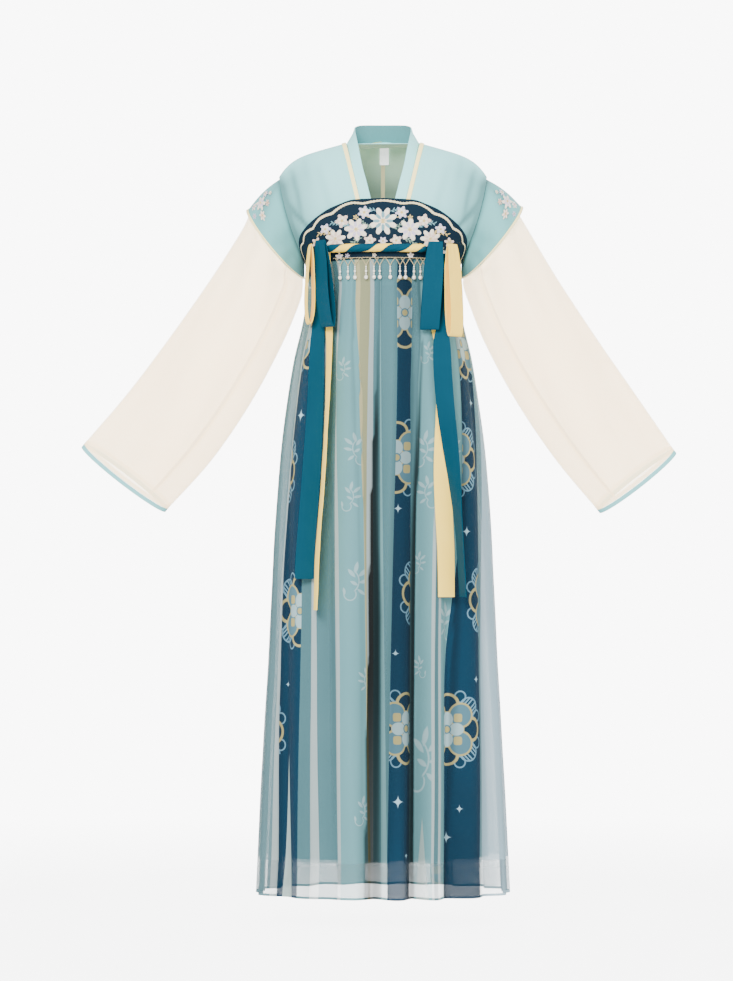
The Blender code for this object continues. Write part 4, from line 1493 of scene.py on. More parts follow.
    def behind(self, places: Sequence[float], heights: Sequence[float], sink: float) -> Rows:
        """A strip that lies inside the back panel.

        Args:
            places: Its columns' x.
            heights: Its rows' heights.
            sink: How far inside the panel's outer face it lies.

        Returns:
            The strip's grid.
        """
        return moved_out([[self.on_back(x, height) for x in places] for height in heights], -sink)

    def piping_rows(self) -> Rows:
        """Draws the piping beside the collar.

        Returns:
            Its grid, from one end under the band round the neck to the other.
        """
        half = []
        for station in finer(self.front_stations, 3)[::-1]:
            if station.drop > self.piping_start:
                continue
            start = self.start_of(station) + FORM.seam_gap
            near, far = FORM.row(start, station.drop, station.end_height, (0.0, 0.05), True, 0.0)
            share = 0.05 * self.piping_width / (far - near).length
            shares = [share * part for part in (0.12, 0.2, 0.56, 0.9, 1.0)]
            half.append(FORM.row(start, station.drop, station.end_height, shares, True, 0.0))
        for step in range(self.piping_back_steps + 1):
            start = 65.5 * (1 - step / self.piping_back_steps)
            row = []
            for width in (0.6, 1.2, self.piping_width / 2, self.piping_width - 0.8, self.piping_width):
                x = start * (1 + width / FORM.neck_half)
                down = FORM.neck_drop(start) + width * (0.15 + 0.7 * (1 - start / FORM.neck_half))
                row.append(self.on_back(x, FORM.back_height(x) - down))
            half.append(row)
        half = moved_out(half, self.piping_lift)
        return mirrored(half)


@dataclass
class Sleeves:
    """The half sleeves, and the long sheer sleeves with their bound cuffs.

    Attributes:
        sides: Columns round a sleeve.
        tuck: How far the half sleeve's head tucks inside the armhole.
        puff: How far it puffs out.
        head_share: Where on the half sleeve the long one is sewn.
        head_sink: How far inside it lies.
        cuff_width: Width of the cuff's binding.
        cuff_lead: How far the cuff's front edge lies beyond its back edge.
        head_shade: More painted shade at the half sleeve's head.
        head_reach: How far down it that shade reaches, as a share.
        head_tuck: How far the head's turning goes in.
        half_deepest: The sink that counts as the half sleeve's deepest fold.
        long_deepest: The long sleeve's.
        ring_steps: Rows of a long sleeve between two rings of its table.
        cloth: Thickness of both sleeves.
        cuff_cloth: Of the cuff's binding.
    """

    sides: int = 96
    tuck: float = 4.5
    puff: float = 5.0
    head_share: float = 0.75
    head_sink: float = 2.6
    cuff_width: float = 8.0
    cuff_lead: float = 9.0
    head_shade: float = 0.75
    head_reach: float = 0.16
    head_tuck: float = 6.0
    half_deepest: float = 12.0
    long_deepest: float = 14.0
    ring_steps: int = 12
    cloth: float = 1.2
    cuff_cloth: float = 1.6

    cuff_axis = Vector((0.62, 0.0, -0.78))
    bow_front = Vector((11, -60, -9))
    bow_back = Vector((9, 62, -7))
    hems = {"left": (250.0, -116.5, 141.5, -243.0), "right": (243.5, -122.0, 141.5, -243.0)}
    rings = {
        "left": (
            (240, -122.8, 144.6, -239, 55, 57, 1), (246, -131, 144.2, -257, 57, 59, 0.9),
            (264, -160.5, 153, -285, 57, 59, 0.6), (314, -244, 184, -362, 52, 53, 0.2),
            (384, -350, 239, -464, 43, 43, 0), (454, -451, 309, -568, 34, 33, 0),
            (523, -551, 385, -659.5, 25, 23, 0),
        ),
        "right": (
            (238, -125, 144.6, -239, 55, 57, 1), (242, -133, 144.2, -258, 57, 59, 0.9),
            (257, -162, 150, -288, 57, 59, 0.6), (309, -243, 183, -366, 52, 53, 0.2),
            (382, -347, 239, -470, 43, 43, 0), (459, -449, 309, -572, 34, 33, 0),
            (537.5, -540.5, 386.6, -657.6, 25, 23, 0),
        ),
    }
    half_creases = (
        Crease((0.05, 0.10), (0.17, 0.90), 0.028, 3.0), Crease((0.94, 0.3), (0.86, 0.95), 0.028, 2.2),
        Crease((0.31, 0.05), (0.27, 0.85), 0.03, 2.4), Crease((0.62, 0.2), (0.70, 0.9), 0.035, 2.0),
        Crease((0.11, 0.05), (0.23, 0.7), 0.025, -1.2), Crease((0.36, 0.30), (0.33, 0.98), 0.022, 1.8),
    )
    long_creases = (
        Crease((0.12, 0.08), (0.20, 0.62), 0.030, 4.2), Crease((0.27, 0.10), (0.33, 0.50), 0.030, 4.2),
        Crease((0.40, 0.08), (0.30, 0.36), 0.030, 4.8), Crease((0.08, 0.50), (0.16, 0.97), 0.032, 3.0),
        Crease((0.30, 0.58), (0.38, 0.98), 0.030, 3.2), Crease((0.21, 0.16), (0.24, 0.70), 0.030, -2.6),
        Crease((0.60, 0.08), (0.70, 0.46), 0.030, 4.0), Crease((0.78, 0.16), (0.74, 0.60), 0.030, 3.6),
        Crease((0.88, 0.50), (0.80, 0.97), 0.030, 2.8), Crease((0.64, 0.60), (0.60, 0.98), 0.028, 2.6),
        Crease((0.45, 0.12), (0.40, 0.60), 0.022, 2.4), Crease((0.16, 0.66), (0.26, 0.98), 0.030, 2.2),
    )

    @staticmethod
    def down_share(angle: float) -> float:
        """How far down a ring this angle lies, where 0 is its top and 180 its foot."""
        return (1 - math.cos(math.radians(angle))) / 2

    def armhole_point(self, angle: float) -> Vector:
        """A point of the left armhole.

        Args:
            angle: 0 at its top, 90 at the front, 180 at its foot.

        Returns:
            The point.
        """
        height = -FORM.shoulder_drop - FORM.armhole_height * self.down_share(angle)
        lowest = -FORM.shoulder_drop - FORM.armhole_height + 0.01
        return FORM.edge_point(max(height, lowest), angle <= 180)

    def half_point(self, side: str, share: float, angle: float) -> Vector:
        """A point of a half sleeve.

        Args:
            side: left or right, whose hems differ. Both are drawn at the left.
            share: From the armhole, 0, to the hem, 1.
            angle: Round the sleeve.

        Returns:
            The point.
        """
        top_x, top_z, low_x, low_z = self.hems[side]
        middle = (self.armhole_point(0) + self.armhole_point(180)) / 2
        down = self.down_share(angle)
        inner = self.armhole_point(angle)
        inward = (middle - inner).normalized()
        start = inner + inward * self.tuck * (1 - down) + Vector((2.2 * down, 0, 0.5))
        end = Vector((mix(top_x, low_x, down), 0, mix(top_z, low_z, down)))
        end += (self.bow_front if angle <= 180 else self.bow_back) * abs(math.sin(math.radians(angle)))
        puffed = self.puff * math.sin(math.pi * share) * (1 - 0.8 * down)
        return mix(start, end, share) - inward * puffed

    def angles(self) -> list[float]:
        """The columns' angles."""
        return [360 * step / self.sides for step in range(self.sides)]

    def half_rows(self, side: str) -> tuple[Rows, Shares]:
        """Draws a half sleeve.

        Args:
            side: left or right.

        Returns:
            Its grid and its painted shade: in its folds, at its head, and full on its tucked first row.
        """
        shares = (0.0, 0.03, 0.07, 0.12, 0.18, 0.25, 0.33, 0.41, 0.5, 0.58, 0.67, 0.75, 0.83, 0.91, 0.97, 1.0)
        rows = [[self.half_point(side, share, angle) for angle in self.angles()] for share in shares]
        sunk_and_shade = sinks(rows, self.half_creases, ring=True)
        folded = creased(rows, sunk_and_shade, ring=True)
        middle = (self.armhole_point(0) + self.armhole_point(180)) / 2
        tucked = [point + (middle - point).normalized() * self.head_tuck - Vector((self.head_tuck, 0, 0))
                  for point in folded[0]]
        heads = [self.head_shade * max(0.0, 1 - share / self.head_reach) ** 1.4 for share in shares]
        dark = [[held(max(sink, 0.0) / self.half_deepest + head) for sink in line]
                for head, line in zip(heads, sunk_and_shade)]
        return [tucked] + folded, [[1.0] * self.sides] + dark

    def long_ring(self, ring: Sequence[float], share: float, shift: float) -> list[Vector]:
        """One ring of a long sleeve.

        Args:
            ring: x and height of its top and foot, its depth to the front and back, and its hem's bow.
            share: Its place along the sleeve.
            shift: How far it moves along the cuff's axis.

        Returns:
            The ring's points.
        """
        top_x, top_z, low_x, low_z, front, back, bowed = ring
        row = []
        for angle in self.angles():
            down = self.down_share(angle)
            wave = math.sin(math.radians(angle))
            lead = self.cuff_axis * (self.cuff_lead * share**2 * wave + shift)
            bow = (self.bow_front if wave >= 0 else self.bow_back) * abs(wave) * bowed
            x = mix(top_x, low_x, down) + bow.x
            height = mix(top_z, low_z, down) + bow.z
            row.append(Vector((x, -(front if wave >= 0 else back) * wave, height)) + lead)
        return row

    def stations(self, side: str) -> list[tuple[float, ...]]:
        """A long sleeve's rings with more between them.

        Args:
            side: left or right.

        Returns:
            The rings.
        """
        firsts = through([Vector(ring[:3]) for ring in self.rings[side]], self.ring_steps)
        lasts = through([Vector(ring[3:]) for ring in self.rings[side]], self.ring_steps)
        return [(*first, *last) for first, last in zip(firsts, lasts)]

    def head_row(self, side: str) -> list[Vector]:
        """Draws the ring that is sewn inside the half sleeve.

        Args:
            side: left or right.

        Returns:
            Its points.
        """
        row = [self.half_point(side, self.head_share, angle) for angle in self.angles()]
        middle = sum(row, Vector()) / len(row)
        return [point + (middle - point).normalized() * self.head_sink for point in row]

    def rim(self, side: str, share: float) -> list[Vector]:
        """A finer ring of the half sleeve, for its trims."""
        return [self.half_point(side, share, angle) for angle in range(0, 360, 3)]

    def long_rows(self, side: str) -> tuple[Rows, Shares]:
        """Draws a long sleeve.

        Args:
            side: left or right.

        Returns:
            Its grid and its painted fold shade.
        """
        stations = self.stations(side)
        last = len(stations) - 1
        rows = [self.long_ring(ring, place / last, 0.0) for place, ring in enumerate(stations)]
        head = self.head_row(side)
        lead = [[mix(a, b, step / 4) for a, b in zip(head, rows[0])] for step in range(4)]
        sunk_and_shade = sinks(lead + rows, self.long_creases, ring=True)
        return creased(lead + rows, sunk_and_shade, ring=True), shares_of(sunk_and_shade, self.long_deepest)

    def shares(self, rows: Rows) -> dict[tuple[int, int], tuple[tuple[float, float], ...]]:
        """Makes the Motif map of a sleeve.

        Args:
            rows: The sleeve's grid.

        Returns:
            The share round it and the share down it at each face corner.
        """
        last = len(rows) - 1
        return {
            (row, place): tuple(
                ((place + over) / self.sides, (row + down) / last)
                for down, over in ((0, 0), (0, 1), (1, 1), (1, 0))
            )
            for row in range(last) for place in range(self.sides)
        }

    def cuff_rows(self, side: str) -> Rows:
        """The grid of a cuff's binding."""
        ring = self.stations(side)[-1]
        return [self.long_ring(ring, 1.0, shift) for shift in (0.3, 0.8, 2.5, 5.5, 7.5, self.cuff_width)]

    def make(self) -> None:
        """Builds both sides' sleeves."""
        for name, side in SIDES.items():
            rows, sunk_and_shade = self.half_rows(name)
            half = Cloth(f"half_sleeve_{name}_cloth", rows, self.cloth, ring=True, side=side, sunk_and_shade=sunk_and_shade)
            half.sew([SLEEVE_TEAL], "half_sleeve", "half_sleeve_" + name)
            rows, sunk_and_shade = self.long_rows(name)
            sheer = Cloth(f"long_sleeve_{name}_cloth", rows, self.cloth, ring=True, side=side,
                          motifs=self.shares(rows), sunk_and_shade=sunk_and_shade)
            sheer.sew([ORGANZA], "organza", "long_sleeve_" + name)
            cuff = Cloth(f"cuff_{name}_bias", self.cuff_rows(name), self.cuff_cloth, ring=True, side=side)
            cuff.sew([CUFF_BLUE], "cuff", "cuff_binding_" + name)


@dataclass
class ChestBand:
    """The shaped band over the chest.

    Attributes:
        thickness: Of its wall.
        lift: How far its outer face lies outside the jacket.
        seam_angle: Gap at each side seam, in degrees.
        steps_up: Its rows.
    """

    thickness: float = 1.6
    lift: float = 3.7
    seam_angle: float = 0.3
    steps_up: int = 16

    outline = (
        Edge(0, -107.6, -218), Edge(11.3, -110, -218), Edge(19, -119, -218), Edge(26, -128.5, -218.4),
        Edge(36, -144, -219.5), Edge(45.5, -158, -222), Edge(62, -182, -233), Edge(76, -209, -248),
        Edge(90, -231, -257), Edge(135, -234, -260), Edge(180, -235, -261),
    )
    top = curve_of(outline, "angle", "top")
    bottom = curve_of(outline, "angle", "bottom")

    @staticmethod
    def folded(angle: float) -> float:
        """An angle as its distance from the front."""
        return abs(angle if angle <= 180 else 360 - angle)

    def point(self, angle: float, edge: float, lift: float) -> Vector:
        """A point of the band.

        Args:
            angle: Its angle round the body.
            edge: 0 at the band's top and 1 at its foot.
            lift: How far over its outer face.

        Returns:
            The point.
        """
        turn = self.folded(angle)
        height = mix(self.top.at(turn), self.bottom.at(turn), edge)
        return FORM.surface(angle, height, self.lift + lift)

    def rows(self, start: float, steps: int) -> Rows:
        """The grid of half the band.

        Args:
            start: Angle of its first side seam.
            steps: Columns between the seams.

        Returns:
            The grid, from its foot up.
        """
        span = 180 - 2 * self.seam_angle
        angles = [start + self.seam_angle + span * step / steps for step in range(steps + 1)]
        return [[self.point(angle, 1 - share, 0.0) for angle in angles]
                for share in even_shares(self.steps_up)]

    def point_at(self, angle: float, height: float, lift: float) -> Vector:
        """A point of the band's outer face at an angle and height."""
        return FORM.surface(angle, height, self.lift + lift)

    def at(self, x: float, height: float, lift: float) -> Vector:
        """A point in front of the band at x and height."""
        angle = math.degrees(math.asin(x / FORM.width_at.at(height)))
        return FORM.surface(angle, height, self.lift + lift)

    def make(self) -> None:
        """Builds the band's front and back."""
        for name, start, steps in (("front", -90, 140), ("back", 90, 90)):
            cloth = Cloth(f"chest_band_{name}_cloth", self.rows(start, steps), self.thickness)
            cloth.sew([BAND_NAVY], "band", "chest_band_" + name)


@dataclass(frozen=True)
class Ring:
    """Half sizes of the skirt or its lining at a height: to the side, the front and the back."""

    height: float
    side: float
    front: float
    back: float


class Oval:
    """The oval form of the skirt or its lining, before its folds.

    Args:
        rings: Its half sizes, from the top down.
    """

    def __init__(self, rings: Sequence[Ring]) -> None:
        self.side = curve_of(rings, "height", "side")
        self.front = curve_of(rings, "height", "front")
        self.back = curve_of(rings, "height", "back")

    def point(self, angle: float, height: float, stand: float) -> Vector:
        """A point of the form, moved out.

        Args:
            angle: Its angle round the body.
            height: Its height.
            stand: How far out it is moved.

        Returns:
            The point.
        """
        turn = math.radians(angle)
        side = self.side.at(height)
        depth = (self.front if math.cos(turn) >= 0 else self.back).at(height)
        out = Vector((math.sin(turn) / side, -math.cos(turn) / depth, 0)).normalized()
        return Vector((side * math.sin(turn), -depth * math.cos(turn), height)) + out * stand


@dataclass(frozen=True)
class Fold:
    """A ridge or trough: its angle at the top and at the hem, and how far it stands out at the hem."""

    top: float
    hem: float
    depth: float


@dataclass(frozen=True)
class LapShade:
    """Painted shade beside a fold that lies over its neighbour, or over a whole stripe.

    Attributes:
        hem: Angle of the fold's edge at -1281.
        middle: At -733.
        top: At -291.
        before: How far the dark reaches at smaller angles, in degrees.
        after: How far at larger ones.
        depth: How dark it is half way up, from 0 to 1.
        low: How dark near the hem.
        flat: How evenly dark it is before its edge, from 2.
        high: How much of its darkness and width is left near the top.
    """

    hem: float
    middle: float
    top: float
    before: float
    after: float
    depth: float
    low: float
    flat: float = 2.0
    high: float = 1.0

    def at(self, angle: float, height: float) -> float:
        """Reads the painted shade.

        Args:
            angle: Where.
            height: The height there.

        Returns:
            How much painted shade there is, from 0 to 1.
        """
        off = angle - Curve(((-1281, self.hem), (-733, self.middle), (-291, self.top))).at(height)
        wide = Curve(((-850, 1.0), (-400, self.high))).at(height)
        kept = Curve(((-520, 1.0), (-330, mix(self.high, 1.0, 0.2)))).at(height)
        reach = (self.after if off > 0 else self.before) * wide
        strength = Curve(((-1340, self.low), (-900, self.depth), (-235, self.depth))).at(height)
        share = max(0.0, 1 - (abs(off) / reach) ** self.flat)
        return strength * kept * min(1.0, share * (0.8 + 0.1 * self.flat))


@dataclass(frozen=True)
class Mark:
    """A printed motif in a stripe.

    Attributes:
        motif: Which it is.
        stripe: The stripe's place in the table, from the first.
        share: Where its middle lies across the stripe. It may lie outside.
        height: Its middle's height.
        size: Its half width in millimetres.
        turn: 1, -1 for its mirror image, or more than 1 for a narrower wedge.
    """

    motif: Motif
    stripe: int
    share: float
    height: float
    size: float = 65.0
    turn: float = 1


def marks(motif: Motif, *rows: tuple[float, ...]) -> tuple[Mark, ...]:
    """Makes the marks of one motif, each from its stripe, share, height and any size and turn."""
    return tuple(Mark(motif, *row) for row in rows)


def repeats(first: float, stride: float, shift: float, foot: float) -> list[tuple[int, int, float]]:
    """Repeats a motif down each group of the back's stripes.

    Args:
        first: Height of the first group's first one.
        stride: From one to the next below it.
        shift: How much lower each group starts than the one before.
        foot: The height that all of them stay over.

    Returns:
        Each one's group, number and height.
    """
    found = [(group, step, first - stride * step - shift * group) for group in range(4) for step in range(5)]
    return [one for one in found if one[2] > foot]


@dataclass(frozen=True)
class Band:
    """One printed stripe: its finish, and the angle of its first edge at three or more heights."""

    finish: Stripe
    edge: Curve


def band(finish: Stripe, hem: float, middle: float, top: float, *more: tuple[float, float]) -> Band:
    """Makes a stripe from its first edge's angles near the hem, half way up and near the top.

    Args:
        finish: Its finish.
        hem: Angle at -1281.
        middle: Angle at -733.
        top: Angle at -291.
        more: Further pairs of height and angle.

    Returns:
        The stripe.
    """
    return Band(finish, Curve(tuple(sorted([(-1281, hem), (-733, middle), (-291, top), *more]))))


@dataclass
class Skirt:
    """The printed skirt, front and back, with the plain lining under it.

    Attributes:
        hem: Height of the hem.
        rows_down: Rows of the printed cloth.
        step_angle: Widest column, in degrees.
        top_gap: Gap between the band's foot and the skirt.
        thickness: Of the cloth.
        seam: How far the side seams lie from the middle plane.
        flare_power: How the folds' depth grows from the top down.
        drift_power: How their angles move from those at the top to those at the hem.
        first_depth: The share of their depth that they have at the top.
        ripple: Depth of the small gathers, and of the slow drift of the folds.
        gather_reach: How far down the small gathers reach, as a share.
        fold_shade_share: How much of the painted fold shade is kept where there is painted shade beside the
            folds too.
        lining_top: Height of the lining's upper edge.
        lining_hem: Height of its hem.
        lining_steps: Its rows.
        lining_sides: Its columns.
    """

    hem: float = -1348.0
    rows_down: int = 84
    step_angle: float = 1.5
    top_gap: float = 0.8
    thickness: float = 1.2
    seam: float = 0.15
    flare_power: float = 0.85
    drift_power: float = 0.8
    first_depth: float = 0.04
    ripple: float = 0.9
    gather_reach: float = 0.1
    fold_shade_share: float = 0.45
    lining_top: float = -264.0
    lining_hem: float = -1282.0
    lining_steps: int = 24
    lining_sides: int = 128

    outer = Oval((
        Ring(-218, 143.5, 117.6, 102.7), Ring(-240, 138, 118.2, 102.9), Ring(-262, 135.2, 119, 103.4),
        Ring(-319, 143, 123, 106.6), Ring(-391, 159.6, 127.6, 111.4), Ring(-463, 171, 132, 117),
        Ring(-571, 184, 140, 127), Ring(-715, 194, 148, 138), Ring(-931, 204, 158, 151),
        Ring(-1147, 216, 167, 163), Ring(-1348, 225, 174, 172),
    ))
    inner = Oval((
        Ring(-264, 132.3, 114.4, 100), Ring(-319, 138.5, 113.6, 101), Ring(-391, 149, 116, 104),
        Ring(-571, 163, 121, 111.5), Ring(-751, 173, 125, 119), Ring(-967, 180, 131, 127),
        Ring(-1282, 190, 139, 137),
    ))
    front_folds = (
        Fold(-90, -90, 4), Fold(-86, -80, -6), Fold(-82, -69, 12), Fold(-74, -51, -9), Fold(-62, -38, 8),
        Fold(-40, -26, -2), Fold(-27, -13.5, 9), Fold(-7.6, -4.2, -24), Fold(9.9, 6.8, 14),
        Fold(24.2, 14.2, -26), Fold(34.6, 22.8, 18), Fold(43.5, 30.5, -12), Fold(62, 43.5, 12),
        Fold(74, 56, -10), Fold(81, 68, 10), Fold(86, 79.5, -6), Fold(90, 90, 4),
    )
    front_lap_shades = (
        LapShade(-8.2, -7.2, -2.8, 0.5, 8.2, 1.0, 0.9, 4.0, 0.22),
        LapShade(15.1, 18.0, 29.0, 6.0, 0.6, 1.0, 0.95, 2.4, 0.45),
        LapShade(-20.5, -26.4, -35.0, 4.0, 0.6, 0.35, 0.08), LapShade(29.8, 43.0, 60.0, 0.5, 5.0, 0.55, 0.55),
        LapShade(-57.3, -65.0, -61.0, 0.6, 4.0, 0.4, 0.4), LapShade(-34.5, -40.0, -42.0, 6.0, 0.6, 0.12, 0.12),
        LapShade(-8.6, -11.5, -21.6, 2.5, 0.4, 0.35, 0.3), LapShade(48.4, 61.6, 79.8, 4.0, 0.6, 0.45, 0.3),
        LapShade(2.0, 5.3, 10.5, 3.0, 0.5, 0.35, 0.25), LapShade(22.4, 28.0, 45.0, 0.5, 2.5, 0.4, 0.3),
        LapShade(-1.0, -1.6, -2.3, 2.0, 0.4, 0.5, 0.3), LapShade(-72.0, -76.0, -78.0, 5.0, 3.0, 0.3, 0.3),
        LapShade(7.6, 9.9, 16.5, 6.0, 6.0, 0.5, 0.05, 6.0), LapShade(39.0, 52.5, 70.0, 9.5, 9.5, 0.16, 0.36, 6.0),
    )
    back_folds = (
        Fold(90, 90, 4), Fold(97, 98, -8), Fold(106, 108, 11), Fold(116, 120, -12), Fold(127, 130, 12),
        Fold(137, 141, -15), Fold(147, 150, 13), Fold(158, 161, -12), Fold(168, 170, 10),
        Fold(178, 179, -18), Fold(189, 188, 13), Fold(199, 199, -12), Fold(209, 208, 12),
        Fold(220, 219, -14), Fold(231, 230, 12), Fold(242, 241, -11), Fold(252, 251, 11),
        Fold(262, 261, -8), Fold(270, 270, 4),
    )
    front_stripes = (
        band(Stripe.STEEL, -90, -90, -90), band(Stripe.PALE, -61.4, -66.4, -64),
        band(Stripe.NAVY, -57.5, -65.2, -61), band(Stripe.BLUE, -41.7, -46, -50),
        band(Stripe.PALE, -34.4, -39.7, -42), band(Stripe.BLUE, -30.2, -37, -39.5),
        band(Stripe.PALE, -20.6, -25.6, -35.2, (-468, -28.7)), band(Stripe.TEAL, -19, -23.3, -32.6),
        band(Stripe.CREAM, -7.1, -10.1, -20.7, (-468, -12.7)), band(Stripe.SAGE, -6.9, -9.8, -17.2),
        band(Stripe.PALE, -6, -8.9, -9.6), band(Stripe.BLUE, -4.8, -5.4, -6.6),
        band(Stripe.MINT, -0.9, -1.5, -2.2), band(Stripe.BLUE, 1.8, 0, -1.8),
        band(Stripe.NAVY, 1.9, 5.2, 10.4, (-468, 8.05), (-998, 3.3)),
        band(Stripe.BLUE, 12.5, 14.6, 22.6, (-468, 16.6)), band(Stripe.TEAL, 15, 17.8, 29.2, (-468, 21.7)),
        band(Stripe.PALE, 21.3, 25.9, 40.9), band(Stripe.BLUE, 22.3, 27.9, 44.9),
        band(Stripe.PALE, 24.2, 29.6, 48), band(Stripe.TEAL, 25.7, 31.4, 50.3),
        band(Stripe.NAVY, 29.7, 43, 60, (-468, 53), (-998, 31.8)), band(Stripe.STEEL, 48.6, 61.8, 80),
        band(Stripe.CLEAR, 53.5, 66.5, 84), band(Stripe.CLEAR, 90, 90, 90),
    )
    back_repeat = (
        (Stripe.BLUE, 8), (Stripe.NAVY, 14), (Stripe.PALE, 2), (Stripe.TEAL, 12), (Stripe.PALE, 2),
        (Stripe.BLUE, 7),
    )
    front_marks = marks(
        Motif.ROSETTE,
        (14, 0.5, -313), (14, 0.05, -570), (14, 2.1, -810), (14, 0.72, -1047), (21, 0.4, -364),
        (21, -0.5, -572), (21, 1.4, -822), (21, 0.12, -1050), (2, 0.6, -347), (2, -0.9, -594),
        (2, 0.95, -841), (2, -0.9, -1056),
    ) + marks(
        Motif.STAR,
        (2, 0.5, -493, 11), (2, 0.3, -972, 6), (14, 0.2, -660, 8), (14, 0.2, -915, 7),
        (14, 0.35, -1175, 11), (14, 0.75, -1270, 7), (21, 0.75, -470, 10), (21, 0.25, -700, 9),
        (21, 0.8, -962, 7), (21, 0.1, -1240, 10), (21, 0.4, -1190, 7),
    ) + marks(
        Motif.SPRIG,
        (7, 0.35, -413, 16), (7, 0.65, -556, 22, -1), (7, 0.6, -640, 20), (7, 0.75, -790, 26),
        (7, 0.95, -965, 18, -1), (7, 0.88, -1193, 20), (16, 0.5, -384, 15), (16, 0.5, -556, 25),
        (16, 0.5, -632, 22, -1), (16, 0.3, -756, 15), (16, 0.25, -940, 15, -1), (16, 0.8, -1105, 44),
        (20, 0.4, -560, 24), (20, 0.5, -860, 26, -1),
    ) + marks(
        Motif.WEDGE,
        (2, 0.42, -1094, 31, 1.6), (16, 0.5, -1204, 31, 0.75),
    )
    back_marks = tuple(
        Mark(Motif.ROSETTE, 1 + 6 * group, (0.5, 0.0, 1.1)[(step + group) % 3], height)
        for group, step, height in repeats(-310, 236, 47, -1330)
    ) + tuple(
        Mark(Motif.SPRIG, 3 + 6 * group, 0.5, height, 26 + 5 * ((step + group) % 3),
             1 if (step + group) % 2 else -1)
        for group, step, height in repeats(-420, 205, 39, -1320)
    ) + tuple(
        Mark(Motif.STAR, 1 + 6 * group, 0.55, height, 7)
        for group, _, height in repeats(-428, 236, 47, -1330)
    )

    # deepest is the fold depth whose painted shade counts as 1; fold_shade scales the painted fold shade from
    # the top, 0, to the hem, 1.
    deepest = 26.0
    fold_shade = Curve(((0.0, 0.35), (0.12, 0.45), (0.35, 0.9), (0.7, 0.8), (1.0, 0.6)))

    def top(self, angle: float) -> float:
        """Height of the skirt's upper edge."""
        return ChestBand.bottom.at(ChestBand.folded(angle)) - self.top_gap

    def places(self, folds: Sequence[Fold], down: float) -> list[float]:
        """The folds' angles, where down is 0 at the top and 1 at the hem."""
        return [mix(fold.top, fold.hem, down**self.drift_power) for fold in folds]

    def stand(self, folds: Sequence[Fold], angle: float, down: float) -> float:
        """Reads how far the folds stand out.

        Args:
            folds: The folds.
            angle: Where.
            down: 0 at the top and 1 at the hem.

        Returns:
            Millimetres outward.
        """
        places = self.places(folds, down)
        index = 0
        while index < len(folds) - 2 and angle > places[index + 1]:
            index += 1
        share = held((angle - places[index]) / (places[index + 1] - places[index]))
        rise = 0.5 - 0.5 * math.cos(math.pi * share)
        first, last = folds[index].depth, folds[index + 1].depth
        rise = rise**0.75 if last > first else 1 - (1 - rise) ** 0.75
        depth = mix(first, last, rise)
        gathers = self.ripple * noise(angle * 0.75, 3.0) * math.exp(-down / self.gather_reach)
        gathers *= min(down / 0.01, 1.0)
        drift = self.ripple * noise(angle * 0.11 + down * 5, 1.0) * math.sin(math.pi * down)
        return mix(self.first_depth * depth, depth, down**self.flare_power) + gathers + drift

    def painted_fold_shade(self, folds: Sequence[Fold], angle: float, down: float) -> float:
        """Reads the painted shade in the folds.

        Args:
            folds: The folds.
            angle: Where.
            down: 0 at the top and 1 at the hem.

        Returns:
            0 on the ridges, up to 1 at the bottom of the deepest fold, scaled by fold_shade from the top
            down.
        """
        places = self.places(folds, down)
        found = 0.0
        for before, place, after, fold in zip(places, places[1:], places[2:], folds[1:]):
            if fold.depth < 0 and before < angle < after:
                side = (angle - place) / ((after if angle > place else before) - place)
                found = max(found, (-fold.depth / self.deepest) ** 0.8 * (1 - side) ** 1.6)
        return found * self.fold_shade.at(down)

    def columns(self, stripes: Sequence[Band]) -> list[tuple[int, float]]:
        """Spreads the grid's columns over the stripes.

        Args:
            stripes: The stripes, the last of which only ends the one before.

        Returns:
            Each column's stripe and its share across the stripe.
        """
        found = []
        for index, (stripe, after) in enumerate(zip(stripes, stripes[1:])):
            widest = max(after.edge.at(h) - stripe.edge.at(h) for h in (-260, -470, -733, -1000, -1300))
            steps = max(2, math.ceil(widest / self.step_angle))
            found += [(index, step / steps) for step in range(steps)]
        return found + [(len(stripes) - 2, 1.0)]

    def angle_at(self, stripes: Sequence[Band], column: tuple[int, float], height: float) -> float:
        """A column's angle at a height."""
        index, share = column
        return mix(stripes[index].edge.at(height), stripes[index + 1].edge.at(height), share)

    def grid(self, stripes: Sequence[Band], folds: Sequence[Fold], lap_shades: Sequence[LapShade],
             seam: float) -> tuple[Rows, Shares]:
        """The grid of half the skirt, from the hem up, and its painted shade.

        Args:
            stripes: Its stripes.
            folds: Its folds.
            lap_shades: The painted shade beside its folds, and over some whole stripes.
            seam: Where its side edges lie.

        Returns:
            The grid and the shares of painted shade.
        """
        columns = self.columns(stripes)
        rows, sunk_and_shade = [], []
        for down in even_shares(self.rows_down):
            row, line = [], []
            for column in columns:
                height = mix(self.top(self.angle_at(stripes, column, -218)), self.hem, down)
                angle = self.angle_at(stripes, column, height)
                row.append(self.outer.point(angle, height, self.stand(folds, angle, down)))
                dark = max((lap_shade.at(angle, height) for lap_shade in lap_shades), default=0.0)
                painted_fold_shade = self.painted_fold_shade(folds, angle, down) * (self.fold_shade_share if lap_shades else 1.0)
                line.append(held(max(dark, painted_fold_shade)))
            row[0].y = row[-1].y = seam
            rows.append(row)
            sunk_and_shade.append(line)
        return rows[::-1], sunk_and_shade[::-1]

